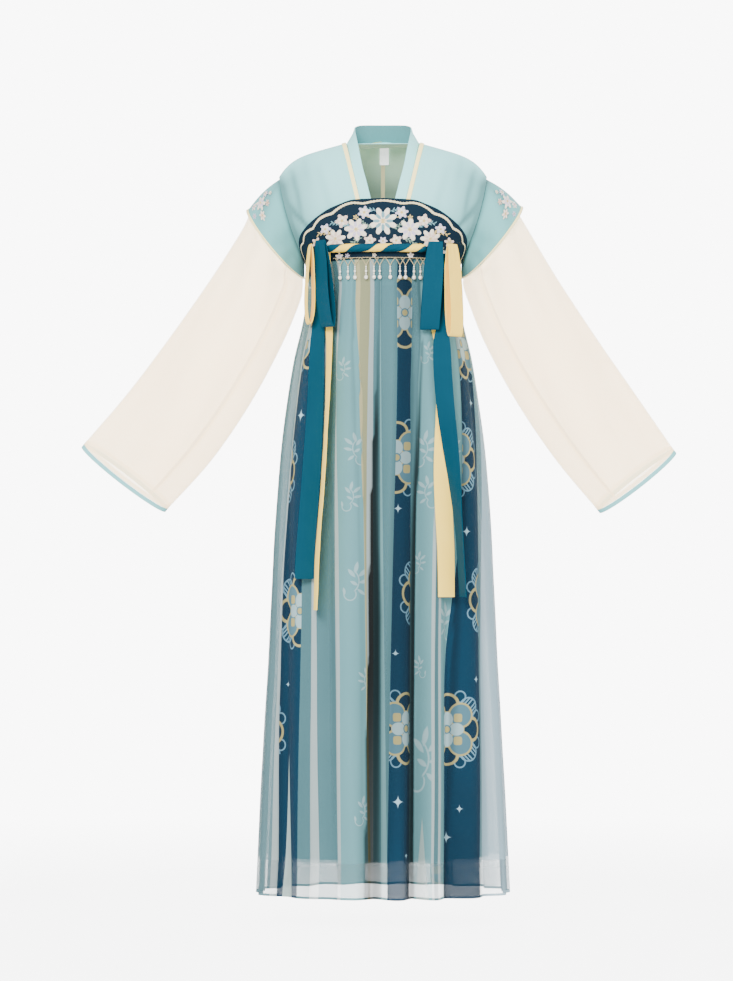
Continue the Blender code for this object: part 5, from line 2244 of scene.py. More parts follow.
    def prints(self, rows: Rows, stripes: Sequence[Band], marks: Sequence[Mark],
               materials: list[bpy.types.Material]) -> tuple[dict, dict]:
        """Lays the stripes' finishes and motifs on the grid's faces.

        Args:
            rows: The grid.
            stripes: Its stripes.
            marks: The motifs.
            materials: Grows by each material that is used.

        Returns:
            The faces' finishes and their Motif map.
        """
        columns = self.columns(stripes)
        widths = [lengths(row) for row in rows]
        first_of = [columns.index((index, 0.0)) for index in range(len(stripes) - 1)] + [len(columns) - 1]
        patches, motifs, seen = {}, {}, {}
        for r in range(len(rows) - 1):
            for c, (index, _) in enumerate(columns[:-1]):
                middle = (rows[r][c].z + rows[r + 1][c].z) / 2
                near = min((m for m in marks if m.stripe == index and self.covers(m, middle)),
                           key=lambda m: self.nearness(m, middle), default=None)
                key = (stripes[index].finish, near.motif if near else Motif.NONE)
                if key not in seen:
                    seen[key] = len(materials)
                    materials.append(key[0].value.material(key[1]))
                patches[(r, c)] = seen[key]
                if near:
                    pairs = []
                    for row, place in ((r, c), (r, c + 1), (r + 1, c + 1), (r + 1, c)):
                        start, end = widths[row][first_of[index]], widths[row][first_of[index + 1]]
                        across = (widths[row][place] - mix(start, end, near.share)) / near.size
                        pairs.append((across * near.turn, (rows[row][place].z - near.height) / near.size))
                    motifs[(r, c)] = tuple(pairs)
        return patches, motifs

    @staticmethod
    def covers(mark: Mark, height: float) -> bool:
        """Whether a motif reaches up or down to a height. A wedge reaches down from its tip.

        Args:
            mark: The motif.
            height: The height.

        Returns:
            Whether it does.
        """
        off = height - mark.height
        if mark.motif is Motif.WEDGE:
            return off < mark.size / 4
        return abs(off) < mark.size * {Motif.ROSETTE: 1.25, Motif.STAR: 1.2, Motif.SPRIG: 1.8}[mark.motif]

    @staticmethod
    def nearness(mark: Mark, height: float) -> float:
        """Which of two motifs that meet at a height is drawn there: the one with the smaller number."""
        return 0.6 if mark.motif is Motif.WEDGE else abs(mark.height - height) / mark.size

    def lining_rows(self) -> Rows:
        """Draws the lining.

        Returns:
            Its grid, from its hem up.
        """
        rows = []
        for down in even_shares(self.lining_steps):
            height = mix(self.lining_top, self.lining_hem, down)
            row = []
            for place in range(self.lining_sides):
                angle = 360 * place / self.lining_sides - 180
                stand = -3 * down * (0.5 - 0.5 * math.cos(math.radians(angle * 8)))
                row.append(self.inner.point(angle, height, stand))
            rows.append(row)
        return rows[::-1]

    def back_stripes(self) -> list[Band]:
        """Repeats the stripes of the back.

        Returns:
            The stripes, from the left side seam.
        """
        found, angle = [], 90.0
        for _ in range(4):
            for finish, wide in self.back_repeat:
                found.append(band(finish, angle, angle, angle))
                angle += wide
        return found + [band(Stripe.BLUE, 270, 270, 270)]

    def make(self) -> None:
        """Builds the printed halves and the lining."""
        halves = (
            ("front", self.front_stripes, self.front_folds, self.front_lap_shades, self.front_marks, -self.seam),
            ("back", self.back_stripes(), self.back_folds, (), self.back_marks, self.seam),
        )
        for name, stripes, folds, lap_shades, marks, seam in halves:
            rows, sunk_and_shade = self.grid(stripes, folds, lap_shades, seam)
            materials: list[bpy.types.Material] = []
            patches, motifs = self.prints(rows, stripes, marks, materials)
            cloth = Cloth(f"skirt_{name}_cloth", rows, self.thickness, patches=patches, motifs=motifs,
                          sunk_and_shade=sunk_and_shade)
            settle(cloth.make(materials), "skirt", "skirt_" + name)
        lining = Cloth("skirt_lining_cloth", self.lining_rows(), self.thickness, ring=True)
        lining.sew([LINING_BLUE], "lining", "skirt_lining")

    def crest(self, x: float, height: float) -> float:
        """Finds how far forward the skirt's furthest fold could reach.

        Args:
            x: Where.
            height: The height there.

        Returns:
            Millimetres in front of the middle plane.
        """
        down = held((height - self.top(0)) / (self.hem - self.top(0)))
        furthest = max(fold.depth for fold in self.front_folds)
        stand = furthest * mix(self.first_depth, 1.0, down**self.flare_power)
        side = self.outer.side.at(height) + stand
        depth = self.outer.front.at(height) + stand
        return depth * math.sqrt(max(0.0, 1 - (x / side) ** 2))


@dataclass(frozen=True)
class Loop:
    """A ribbon loop: its top's middle, length, how far its strands part, its foot's drift and its turn."""

    name: str
    x: float
    y: float
    top: float
    length: float
    gap: float
    drift_x: float
    drift_y: float
    turn: float


@dataclass(frozen=True)
class Tail:
    """A row of a hanging ribbon end: height, middle, turn in degrees, width and clearance."""

    height: float
    x: float
    turn: float
    width: float
    clear: float


@dataclass
class Ribbons:
    """The twisted belt, and the loops and ends of the bows at its two ends.

    Attributes:
        width: Of the ribbon.
        cloth: Its thickness.
        strand: Half the belt's own thickness.
        pitch: Length of one turn of the twist.
        dwell: How much longer the teal strand faces forwards than the cream one.
        lift: How far the belt's middle lies in front of the band.
        height: The belt's height.
        start: x of its end at the wearer's right.
        end: x of its other end.
        loop_steps: Columns round a loop.
        tail_steps: Rows of a tail between two of its table.
        strand_steps: Rows of the belt.
        knot_height: Where the tails come out from under the loops.
        gather: Depth of a tail's pleats there.
        gather_reach: How far down they reach.
        curl: How far a tail's edges curl back.
        section_front: Points round the front of a strand's section.
        section_back: Steps down its flat back.
        back_shift: How far the flat back lies in front of the strand's line.
        squash: Its height to its depth.
        pleat: Depth of its pleats, as a share of its size.
        end_taper: How much thinner its ends are.
        taper_steps: Rows over which they get thinner.
    """

    width: float = 34.0
    cloth: float = 1.2
    strand: float = 7.2
    pitch: float = 58.0
    dwell: float = 0.45
    lift: float = 8.4
    height: float = -198.5
    start: float = -93.0
    end: float = 70.4
    loop_steps: int = 72
    tail_steps: int = 9
    strand_steps: int = 150
    knot_height: float = -206.0
    gather: float = 0.8
    gather_reach: float = 70.0
    curl: float = 0.4
    section_front: int = 20
    section_back: int = 5
    back_shift: float = 0.25
    squash: float = 0.98
    pleat: float = 0.045
    end_taper: float = 0.25
    taper_steps: int = 8

    loops = (
        Loop("teal_loop_right", -111.1, -111, -184, 155, 14, 14, -12, -50),
        Loop("cream_loop_right", -128.8, -99, -190, 142, 15, -2, 4, -80),
        Loop("teal_loop_left", 93, -117, -187, 157, 12, -11, -9, 6),
        Loop("cream_loop_left", 122.5, -113, -191, 164, 15, 5, 1, 50),
    )
    tails = {
        "teal_tail_right": (
            Tail(-206, -114, 0, 13, 5.0), Tail(-325, -114.9, 4, 20.8, 4), Tail(-375, -117, 12, 27, 4),
            Tail(-468, -120, 30, 33, 4), Tail(-600, -127, 12, 33, 4), Tail(-733, -137, 14, 34, 4),
            Tail(-784, -139, 8, 34, 4),
        ),
        "cream_tail_right": (
            Tail(-206, -99, 0, 11, 3.2), Tail(-325, -96, 30, 13, 4), Tail(-375, -96, 66, 24, 5),
            Tail(-468, -99, 78, 34, 5), Tail(-600, -106, 80, 34, 5), Tail(-733, -116, 78, 34, 5),
            Tail(-839, -120, 80, 34, 5),
        ),
        "teal_tail_left": (
            Tail(-206, 107, 0, 12, 3.9), Tail(-325, 105, 2, 19, 14.5), Tail(-375, 104, 6, 31, 13),
            Tail(-468, 109, 14, 33, 13), Tail(-600, 124, 50, 34, 13), Tail(-700, 133, 68, 34, 12),
            Tail(-816, 140, 72, 34, 12),
        ),
        "cream_tail_left": (
            Tail(-206, 90, 0, 10, 3.7), Tail(-325, 90, 0, 11, 4), Tail(-375, 102, -4, 21, 4),
            Tail(-468, 106, -8, 24, 4), Tail(-600, 105, -12, 31, 4), Tail(-733, 111, -16, 31, 4),
            Tail(-816, 112, -20, 31, 4),
        ),
    }

    @staticmethod
    def finish(name: str) -> tuple[ClothFinish, str]:
        """The finish and slot that a ribbon's name asks for."""
        return (RIBBON_TEAL, "teal_ribbon") if "teal" in name else (RIBBON_CREAM, "cream_ribbon")

    def loop_rows(self, loop: Loop) -> Rows:
        """Draws a loop.

        Args:
            loop: The loop.

        Returns:
            Its grid: a row for each place across the ribbon, which goes round the loop.
        """
        turn = math.radians(loop.turn)
        along = Vector((math.cos(turn), math.sin(turn), 0))
        apart = Vector((-math.sin(turn), math.cos(turn), 0))
        rows = []
        for end in (1.0, 0.94, 0.7, 0.45, 0.2, 0.0, -0.2, -0.45, -0.7, -0.94, -1.0):
            row = []
            for step in range(self.loop_steps):
                angle = 2 * math.pi * step / self.loop_steps
                down = 0.5 - 0.5 * math.cos(angle)
                middle = Vector((loop.x + loop.drift_x * down, loop.y + loop.drift_y * down,
                                 loop.top - loop.length * down))
                spread = (loop.gap / 2) * math.sin(angle) * (0.55 + 0.75 * down)
                pinch = math.exp(-down / 0.16)
                pleat = 1.3 * math.cos(end * 7.5) * pinch + 0.35 * noise(down * 5 + end * 2, loop.x)
                side = 1 if angle < math.pi else -1
                middle += apart * (spread + side * pleat * min(1.0, down / 0.05))
                half = self.width / 2 * (0.75 + 0.25 * min(1.0, down * 4))
                row.append(middle + along * half * end)
            rows.append(row)
        return rows

    def tail_rows(self, table: Sequence[Tail], seed: float) -> Rows:
        """Draws a hanging ribbon end.

        Args:
            table: Its rows.
            seed: Which of the small ripples it gets.

        Returns:
            Its grid, from its foot up.
        """
        points = through([Vector((row.height, row.x, row.turn)) for row in table], self.tail_steps)
        sizes = through([Vector((row.width, row.clear, 0)) for row in table], self.tail_steps)
        ends = (-1.0, -0.94, -0.6, -0.3, 0.0, 0.3, 0.6, 0.94, 1.0)
        rows = []
        for (height, x, turn), (width, clear, _) in zip(points, sizes):
            along = Vector((math.cos(math.radians(turn)), -math.sin(math.radians(turn)), 0)) * width / 2
            reach = [
                SKIRT.crest(x + along.x * end, height) + along.y * end for end in (-1, -0.5, 0, 0.5, 1)
            ]
            middle = Vector((x, -max(reach) - clear, height))
            face = Vector((along.y, -along.x, 0)).normalized()
            gather = self.gather * math.exp((height - self.knot_height) / self.gather_reach)
            row = []
            for end in ends:
                ripple = 0.5 * noise(height * 0.02 + end, seed) + gather * math.cos(end * 8)
                row.append(middle + along * end + face * (ripple - self.curl * end * end))
            rows.append(row)
        return rows[::-1]

    def strand_rows(self, phase: float) -> Rows:
        """Draws half of the twisted belt.

        Args:
            phase: Its turn at the start.

        Returns:
            Rows along it, each of points round its section.
        """
        steps = self.strand_steps
        rows = []
        for step in range(steps + 1):
            x = mix(self.start, self.end, step / steps)
            middle = CHEST.at(x, self.height, self.lift)
            ahead = CHEST.at(x + 0.5, self.height, self.lift) - CHEST.at(x - 0.5, self.height, self.lift)
            out = Vector((ahead.y, -ahead.x, 0)).normalized()
            twist = 2 * math.pi * (x - self.start) / self.pitch
            twist += phase - self.dwell * math.sin(twist)
            near_end = max(0.0, 1 - min(step, steps - step) / self.taper_steps)
            size = self.strand * (1 - self.end_taper * near_end**2)
            row = []
            for spot in even_shares(self.section_front - 1):
                angle = math.pi * (spot - 0.5)
                radius = size * (1 + self.pleat * math.cos(angle * 7) * math.cos(angle))
                across = radius * math.cos(angle) + self.back_shift
                up = radius * math.sin(angle) * self.squash
                row.append(self.turned(middle, out, across, up, twist))
            for spot in even_shares(self.section_back)[1:-1]:
                up = size * self.squash * (1 - 2 * spot)
                row.append(self.turned(middle, out, self.back_shift, up, twist))
            rows.append(row)
        return rows

    @staticmethod
    def turned(middle: Vector, out: Vector, across: float, up: float, twist: float) -> Vector:
        """A point of the strand's section, turned about the belt's line."""
        cos, sin = math.cos(twist), math.sin(twist)
        return middle + out * (across * cos - up * sin) + Vector((0, 0, across * sin + up * cos))

    def make_strand(self, name: str, phase: float) -> None:
        """Builds one strand, closed at both ends.

        Args:
            name: Its node's name.
            phase: Its turn at the start.
        """
        finish, slot = self.finish(name)
        settle(closed_tube(name + "_cloth", self.strand_rows(phase), finish.material()), slot, name)

    def make(self) -> None:
        """Builds the belt, loops and ends."""
        self.make_strand("belt_strand_teal", 0.0)
        self.make_strand("belt_strand_cream", math.pi)
        for loop in self.loops:
            finish, slot = self.finish(loop.name)
            cloth = Cloth(loop.name + "_cloth", self.loop_rows(loop), self.cloth, ring=True)
            cloth.sew([finish], slot, loop.name)
        for name, table in self.tails.items():
            finish, slot = self.finish(name)
            Cloth(name + "_cloth", self.tail_rows(table, table[0].x), self.cloth).sew([finish], slot, name)


def closed_tube(name: str, rows: Rows, material: bpy.types.Material) -> bpy.types.Object:
    """A solid strand from rings of points, with both ends closed.

    Args:
        name: The piece's name.
        rows: Its rings.
        material: Its finish.

    Returns:
        The object.
    """
    wide, last = len(rows[0]), len(rows) - 1
    faces = quads(len(rows), wide, True)
    faces += [tuple(range(wide))[::-1], tuple(last * wide + c for c in range(wide))]
    obj = new_object(name, [point for row in rows for point in row], faces)
    mesh = obj.data
    layer = mesh.uv_layers.new(name="Cloth")
    for loop in mesh.loops:
        row, place = divmod(loop.vertex_index, wide)
        layer.data[loop.index].uv = (place * 0.0011, row * 0.0011)
    mesh.materials.append(material)
    face_out(obj)
    bpy.ops.object.shade_smooth_by_angle(angle=math.radians(50))
    return obj


CHEST = ChestBand()
SKIRT = Skirt()


# Small trims that only show
@dataclass(frozen=True)
class Gloss:
    """A smooth finish of thread or bead.

    Attributes:
        name: The material's name.
        colour: Its colour.
        shade: Its colour in the grain.
        roughness: Of its surface.
        ribs: Pitch of its stitches in metres, or 0 for a smooth bead.
    """

    name: str
    colour: Colour
    shade: Colour
    roughness: float = 0.45
    ribs: float = 0.0007

    def material(self) -> bpy.types.Material:
        """Makes the material, or finds the one already made.

        Returns:
            The material.
        """
        found = bpy.data.materials.get(self.name)
        if found:
            return found
        bench = Bench(self.name)
        tint = bench.blend(bench.clouds(260.0, 2.0), self.colour, self.shade)
        bench.dress({"Base Color": tint, "Roughness": self.roughness})
        if self.ribs:
            x, _, height = bench.axes()
            bench.bump(bench.wave(x + height * 0.6, self.ribs), 0.00015)
            bench.dress({"Sheen Weight": 0.2})
        else:
            bench.bump(bench.clouds(900.0, 1.0), 0.00002)
            bench.dress({"Coat Weight": 0.6})
        return bench.material


THREAD_GOLD = Gloss("gold thread", srgb(222, 196, 128), srgb(190, 160, 92))
THREAD_BORDER = Gloss("border thread", srgb(240, 226, 184), srgb(222, 202, 150))
THREAD_NET = Gloss("net thread", srgb(206, 190, 146), srgb(184, 166, 120))
THREAD_IVORY = Gloss("ivory thread", srgb(246, 238, 220), srgb(228, 216, 192))
THREAD_LILAC = Gloss("lilac thread", srgb(214, 204, 220), srgb(190, 178, 206))
THREAD_TEAL = Gloss("teal thread", srgb(118, 164, 172), srgb(90, 138, 150))
THREAD_LEAF = Gloss("leaf thread", srgb(132, 158, 140), srgb(98, 128, 116))
THREAD_BLUSH = Gloss("blush thread", srgb(232, 206, 190), srgb(212, 178, 162))
PEARL = Gloss("pearl", srgb(244, 240, 228), srgb(228, 222, 206), 0.22, 0.0)


@dataclass
class Model:
    """A small shape that is modelled once, then copied into one piece with each copy's own mesh.

    Attributes:
        name: The finished piece's name.
        material: Its finish.
        points: The shape's points, in millimetres.
        faces: Its faces.
        made: The points of the copies so far.
        drawn: Their faces.
    """

    name: str
    material: bpy.types.Material
    points: list[Vector]
    faces: list[tuple[int, ...]]
    made: list[Vector] = field(default_factory=list)
    drawn: list[tuple[int, ...]] = field(default_factory=list)

    @classmethod
    def petal(cls, name: str, finish: Gloss) -> "Model":
        """A raised petal, one millimetre long from its root at 0 to its tip, drawn as satin stitch lies.

        Args:
            name: The piece's name.
            finish: Its thread.

        Returns:
            The model.
        """
        bpy.ops.object.select_all(action="DESELECT")
        bpy.ops.mesh.primitive_circle_add(vertices=12, radius=0.5, fill_type="NGON")
        bpy.ops.object.mode_set(mode="EDIT")
        bpy.ops.mesh.inset(thickness=0.12)
        bpy.ops.transform.translate(value=(0, 0, 0.6))
        bpy.ops.mesh.inset(thickness=0.18)
        bpy.ops.transform.translate(value=(0, 0, 0.4))
        bpy.ops.object.mode_set(mode="OBJECT")
        return cls._taken(name, finish, Vector((0.5, 0, 0)))

    @classmethod
    def bead(cls, name: str, finish: Gloss) -> "Model":
        """A round bead, one millimetre across, slightly flat where its thread passes.

        Args:
            name: The piece's name.
            finish: Its surface.

        Returns:
            The model.
        """
        bpy.ops.object.select_all(action="DESELECT")
        bpy.ops.mesh.primitive_uv_sphere_add(segments=10, ring_count=7, radius=0.5)
        bpy.ops.object.mode_set(mode="EDIT")
        bpy.ops.transform.resize(value=(1, 1, 0.9))
        bpy.ops.object.mode_set(mode="OBJECT")
        return cls._taken(name, finish, Vector())

    @classmethod
    def _taken(cls, name: str, finish: Gloss, shift: Vector) -> "Model":
        """Takes the points and faces of the object just modelled, and removes it.

        Args:
            name: The piece's name.
            finish: Its surface.
            shift: How far the points are moved.

        Returns:
            The model.
        """
        obj = bpy.context.view_layer.objects.active
        points = [vertex.co + shift for vertex in obj.data.vertices]
        faces = [tuple(face.vertices) for face in obj.data.polygons]
        bpy.data.objects.remove(obj)
        return cls(name, finish.material(), points, faces)

    def copy(self, place: Callable[[Vector], Vector]) -> None:
        """Adds a copy.

        Args:
            place: Puts a point of the shape where it belongs, in millimetres.
        """
        first = len(self.made)
        self.made += [place(point) for point in self.points]
        self.drawn += [tuple(first + corner for corner in face) for face in self.faces]

    def finish(self, slot: str) -> bpy.types.Object:
        """Makes all copies one piece.

        Args:
            slot: The record's material slot.

        Returns:
            The piece.
        """
        obj = new_object(self.name, self.made, self.drawn)
        obj.data.materials.append(self.material)
        obj.data.polygons.foreach_set("use_smooth", [True] * len(self.drawn))
        return settle(obj, slot)


@dataclass(frozen=True)
class Stitch:
    """A raised stitch in the plane of its flower or spray.

    Attributes:
        x: Its root, across.
        up: Its root's height.
        heading: Where it points, in radians.
        start: How far beyond the root it starts.
        length: How long it is.
        wide: Its width at the start.
        flare: How much wider it is at its tip.
        low: How far its foot lies over the cloth.
        rise: Its own height.
    """

    x: float
    up: float
    heading: float
    start: float
    length: float
    wide: float
    flare: float
    low: float
    rise: float

    def put(self, model: Model, place: Place) -> None:
        """Adds the stitch.

        Args:
            model: The petal of its thread.
            place: Turns across, up and lift into a point.
        """
        cos, sin = math.cos(self.heading), math.sin(self.heading)

        def lay(point: Vector) -> Vector:
            """Lays a point of the petal.

            Args:
                point: The point as modelled.

            Returns:
                Where it belongs.
            """
            along = self.start + self.length * point.x
            beside = (self.wide + self.flare * point.x) * point.y
            return place(self.x + along * cos - beside * sin, self.up + along * sin + beside * cos,
                         self.low + self.rise * point.z)

        model.copy(lay)


@dataclass(frozen=True)
class Blossom:
    """A stitched flower: its place on the band, half width, petals, turn and petal colours, outer first."""

    x: float
    height: float
    size: float
    petals: int
    turn: float
    threads: tuple[str, ...]


def both_sides(x: float, height: float, size: float, petals: int, turns: tuple[float, float],
               threads: tuple[str, ...]) -> list[Blossom]:
    """The same flower at the right and at the left, each with its own turn."""
    return [Blossom(side * x, height, size, petals, turn, threads) for side, turn in zip((-1, 1), turns)]


@dataclass(frozen=True)
class Spray:
    """A curved stem with leaves: its start, heading, length, bend over its length and number of leaves."""

    x: float
    height: float
    heading: float
    length: float
    bend: float
    leaves: int
    thread: str = "leaf"

    def both(self) -> "tuple[Spray, Spray]":
        """The spray and its mirror image."""
        return self, replace(self, x=-self.x, heading=180 - self.heading, bend=-self.bend)


@dataclass
class Trimmings:
    """The band's border and flowers, the half sleeves' flowers and pearls, and the bead fringe.

    Attributes:
        pearl_pitch: From pearl to pearl.
        pearl_size: Width of a pearl.
        border_in: How far the border lies inside the band's edge.
        border_wide: Width of the border.
        scallop: How far its scallops stand out.
        border_end: How far round the front it goes, in degrees.
        cap_length: From a half sleeve's head to its hem.
        cap_degree: Width of a degree round its cap.
        seed_pitch: From bead to bead along the top of the fringe's net.
        net_steps: Beads in each slant of the net.
        net_height: Where the slants start.
        net_drop: How far they go down.
        net_half: Half the width of each pair of slants at the top.
    """

    pearl_pitch: float = 4.6
    pearl_size: float = 1.9
    border_in: float = 9.5
    border_wide: float = 5.4
    scallop: float = 4.2
    border_end: float = 84.0
    cap_length: float = 95.0
    cap_degree: float = 0.95
    seed_pitch: float = 2.4
    net_steps: int = 8
    net_height: float = -217.0
    net_drop: float = 13.5
    net_half: float = 7.2

    blossoms = (
        Blossom(0, -150, 26, 8, 22.5, ("ivory", "teal", "ivory", "blush")),
        Blossom(0, -186, 8, 6, 0, ("lilac", "ivory")),
        *both_sides(47, -165, 21, 7, (20, -20), ("ivory", "lilac", "ivory")),
        *both_sides(33, -134, 12, 6, (20, 10), ("lilac", "ivory")),
        *both_sides(83, -181, 18, 7, (10, 25), ("ivory", "blush", "ivory")),
        *both_sides(72, -149, 13, 5, (45, 5), ("blush", "ivory")),
        *both_sides(23, -185, 11, 5, (10, 35), ("blush", "ivory")),
        *both_sides(101, -205, 10, 6, (0, 15), ("ivory", "lilac")),
        *both_sides(101, -163, 10, 5, (0, 20), ("lilac", "ivory")),
        *both_sides(116, -186, 9, 5, (0, 20), ("blush", "gold")),
        *both_sides(48, -143, 5, 5, (0, 20), ("gold",)),
        Blossom(-15, -211, 4, 5, 0, ("ivory",)), Blossom(48, -211, 6, 5, 20, ("ivory", "lilac")),
        Blossom(-76, -212, 7, 5, 20, ("ivory", "lilac")), Blossom(-62, -211, 4.5, 5, 0, ("lilac",)),
    )
    right_sprays = (
        Spray(-17, -163, 165, 24, -40, 4), Spray(-12, -132, 160, 24, 30, 4, "teal"),
        Spray(-58, -160, 150, 34, 40, 5, "teal"), Spray(-36, -180, 200, 28, 25, 4),
        Spray(-84, -172, 160, 30, 45, 4, "gold"), Spray(-90, -190, 205, 26, 30, 4),
        Spray(-24, -144, 150, 18, -40, 3, "gold"),
    )
    sleeve_blossoms = (
        (0.60, 36, 13.5, ("ivory", "lilac", "ivory")), (0.42, 26, 7.5, ("lilac", "ivory")),
        (0.78, 28, 7.5, ("ivory", "lilac")), (0.68, 56, 8, ("ivory", "blush")), (0.44, 47, 6, ("blush",)),
        (0.86, 44, 5, ("lilac",)), (0.30, 34, 4.5, ("ivory",)),
        (0.58, 322, 12, ("ivory", "lilac", "ivory")), (0.42, 334, 7, ("lilac", "ivory")),
        (0.78, 330, 7, ("ivory", "lilac")),
    )
    fringe_half = 84.0
    strand_beads = ((-231.5, 3.0, 3.2), (-234.8, 2.6, 3.8), (-239.6, 4.2, 6.8), (-244.6, 2.8, 3.4),
                    (-250.4, 7.0, 8.8))
    fringe_places = (-73.5, -60, -48, -29, -15.5, -5.5, 12.4, 29, 38.5, 53, 64, 72)

    def petals(self, prefix: str) -> dict[str, Model]:
        """One petal model for each thread colour."""
        threads = {"gold": THREAD_GOLD, "ivory": THREAD_IVORY, "lilac": THREAD_LILAC, "teal": THREAD_TEAL,
                   "leaf": THREAD_LEAF, "blush": THREAD_BLUSH}
        return {key: Model.petal(f"{prefix}_{key}", finish) for key, finish in threads.items()}

    @staticmethod
    def flower(models: dict[str, Model], size: float, petals: int, turn: float, threads: Sequence[str],
               place: Place) -> None:
        """Stitches a flower.

        Args:
            models: The petal models.
            size: Its half width.
            petals: In its outer round.
            turn: In degrees.
            threads: Colours from the outer round in.
            place: Turns across, up and lift into a point.
        """
        for layer, thread in enumerate(threads):
            reach = size * (1 - 0.34 * layer)
            wide = reach * 2.3 / petals * (1.1 if petals < 7 else 1.25)
            for step in range(petals):
                heading = math.radians(turn + 360 * (step + 0.5 * layer) / petals)
                petal = Stitch(0, 0, heading, 0.12 * reach, 0.88 * reach, 0.75 * wide, 0.5 * wide,
                               0.15 + 0.35 * layer, 0.55)
                petal.put(models[thread], place)
        dot = size * 0.17
        for step in range(7):
            around = 2 * math.pi * step / 6
            reach = 0.0 if step == 6 else size * 0.13
            x, up = reach * math.cos(around) - dot / 2, reach * math.sin(around)
            Stitch(x, up, 0, 0, dot, dot, 0, 0.9, 0.5).put(models["gold"], place)

    @staticmethod
    def stem(model: Model, spray: Spray, place: Place) -> None:
        """Stitches a stem and its leaves.

        Args:
            model: The petal of its thread.
            spray: The spray.
            place: Turns across, up and lift into a point.
        """
        x, up, heading = 0.0, 0.0, math.radians(spray.heading)
        steps = spray.leaves * 2
        stride = spray.length / steps
        for step in range(steps):
            Stitch(x, up, heading, 0, 1.25 * stride, 1.1, 0, 0.1, 0.3).put(model, place)
            x, up = x + stride * math.cos(heading), up + stride * math.sin(heading)
            leaf = heading + (0.75 if step % 2 else -0.75)
            long = spray.length * (0.27 - 0.012 * step)
            Stitch(x, up, leaf, 0, long, 0.504 * long, -0.294 * long, 0.12, 0.45).put(model, place)
            heading += math.radians(spray.bend) / steps

    @staticmethod
    def on_band(x: float, height: float) -> Place:
        """Makes the placing for a flower or spray at a spot of the band."""
        return lambda across, up, lift: CHEST.at(x + across, height + up, lift)

    def on_cap(self, name: str, share: float, angle: float) -> Place:
        """Makes the placing for a flower on a half sleeve's cap.

        Args:
            name: left or right.
            share: Its place from the armhole, 0, to the hem, 1.
            angle: Its place round the sleeve.

        Returns:
            The placing.
        """
        def place(across: float, up: float, lift: float) -> Vector:
            """A point on the cap near this flower.

            Args:
                across: Millimetres round the sleeve from the flower's middle.
                up: Millimetres towards the hem.
                lift: How far over the cloth.

            Returns:
                The point.
            """
            down, turn = share + up / self.cap_length, angle + across / self.cap_degree
            here, over, below = (SLEEVES.half_point(name, down + low, (turn + more) % 360)
                                 for low, more in ((0, 0), (0, 2), (0.02, 0)))
            out = (over - here).cross(below - here).normalized()
            return sided(here + out * (lift + 0.2), SIDES[name])

        return place

    def band_flowers(self) -> None:
        """The flowers, sprays and border on the front of the band."""
        models = self.petals("band_stitching")
        for one in self.blossoms:
            self.flower(models, one.size, one.petals, one.turn, one.threads, self.on_band(one.x, one.height))
        for right in self.right_sprays:
            for spray in right.both():
                self.stem(models[spray.thread], spray, self.on_band(spray.x, spray.height))
        models["border"] = Model.petal("band_border", THREAD_BORDER)
        self.border(models["border"])
        for model in models.values():
            model.finish("band")

    def border(self, model: Model) -> None:
        """Stitches the scalloped border inside the band's upper edge.

        Args:
            model: The petal model.
        """
        angle = -self.border_end
        while angle < self.border_end:
            stride = 1.35 if abs(angle) < 60 else 2.2
            self.border_stitch(model, angle, angle + stride)
            angle += stride

    def border_stitch(self, model: Model, first: float, last: float) -> None:
        """Lays one stitch of the border.

        Args:
            model: The petal model.
            first: The angle where it starts.
            last: The angle towards which it goes.
        """
        here, ahead = self.border_spot(first), self.border_spot(last)
        run = ahead - here
        side = run.cross(Vector((math.sin(math.radians(first)), -math.cos(math.radians(first)), 0)))
        out = side.cross(run).normalized()
        side.normalize()
        model.copy(lambda point: here + run * point.x * 1.3 + side * point.y * self.border_wide
                   + out * (0.1 + 0.4 * point.z))

    def border_spot(self, angle: float) -> Vector:
        """The border's point at an angle, where its scallops stand out."""
        wave = self.scallop * abs(math.cos(math.radians(angle * 11)))
        return CHEST.point_at(angle, CHEST.top.at(abs(angle)) - self.border_in + wave, 0.0)

    def sleeve_flowers(self) -> None:
        """The flowers on the caps of both half sleeves."""
        models = self.petals("sleeve_stitching")
        for name in SIDES:
            for share, angle, size, threads in self.sleeve_blossoms:
                self.flower(models, size, 6, 10, threads, self.on_cap(name, share, angle))
        for model in models.values():
            if model.made:
                face_out(model.finish("half_sleeve"))

    def pearls(self) -> None:
        """The pearls and the cream tape along both half sleeves' hems."""
        model = Model.bead("hem_pearls", PEARL)
        for name, side in SIDES.items():
            rows = [SLEEVES.rim(name, share) for share in (0.945, 0.95, 0.97, 0.99, 0.995)]
            tape = Cloth(f"hem_tape_{name}", moved_out(rows, 0.9, ring=True), 0.7, ring=True, side=side)
            tape.sew([CREAM_TRIM], "trim")
            rims = [SLEEVES.rim(name, share) for share in (0.985, 1.0)]
            line = moved_out(rims, 1.8, ring=True)[0]
            left_over = 0.0
            for here, ahead in zip(line, line[1:] + line[:1]):
                run = (ahead - here).length
                while left_over < run:
                    self.pearl(model, mix(here, ahead, left_over / run), side)
                    left_over += self.pearl_pitch
                left_over -= run
        model.finish("beads")

    def pearl(self, model: Model, middle: Vector, side: int) -> None:
        """Sews on one pearl, drawn at the left."""
        model.copy(lambda point: sided(middle + point * self.pearl_size, side))

    def fringe(self) -> None:
        """The bead fringe: a looped net of seed beads with drops, under the band's lower edge."""
        seeds, drops = Model.bead("fringe_seeds", THREAD_NET), Model.bead("fringe_beads", PEARL)

        def spot(x: float, height: float, swing: float) -> Vector:
            """A place in front of the band's foot."""
            base = CHEST.at(x, -218, 2.2)
            return Vector((base.x, base.y - 3.4 * swing, height))

        def lay(model: Model, middle: Vector, wide: float, tall: float) -> None:
            """Adds one bead."""
            model.copy(lambda point: middle + Vector((point.x * wide, point.y * wide, point.z * tall)))

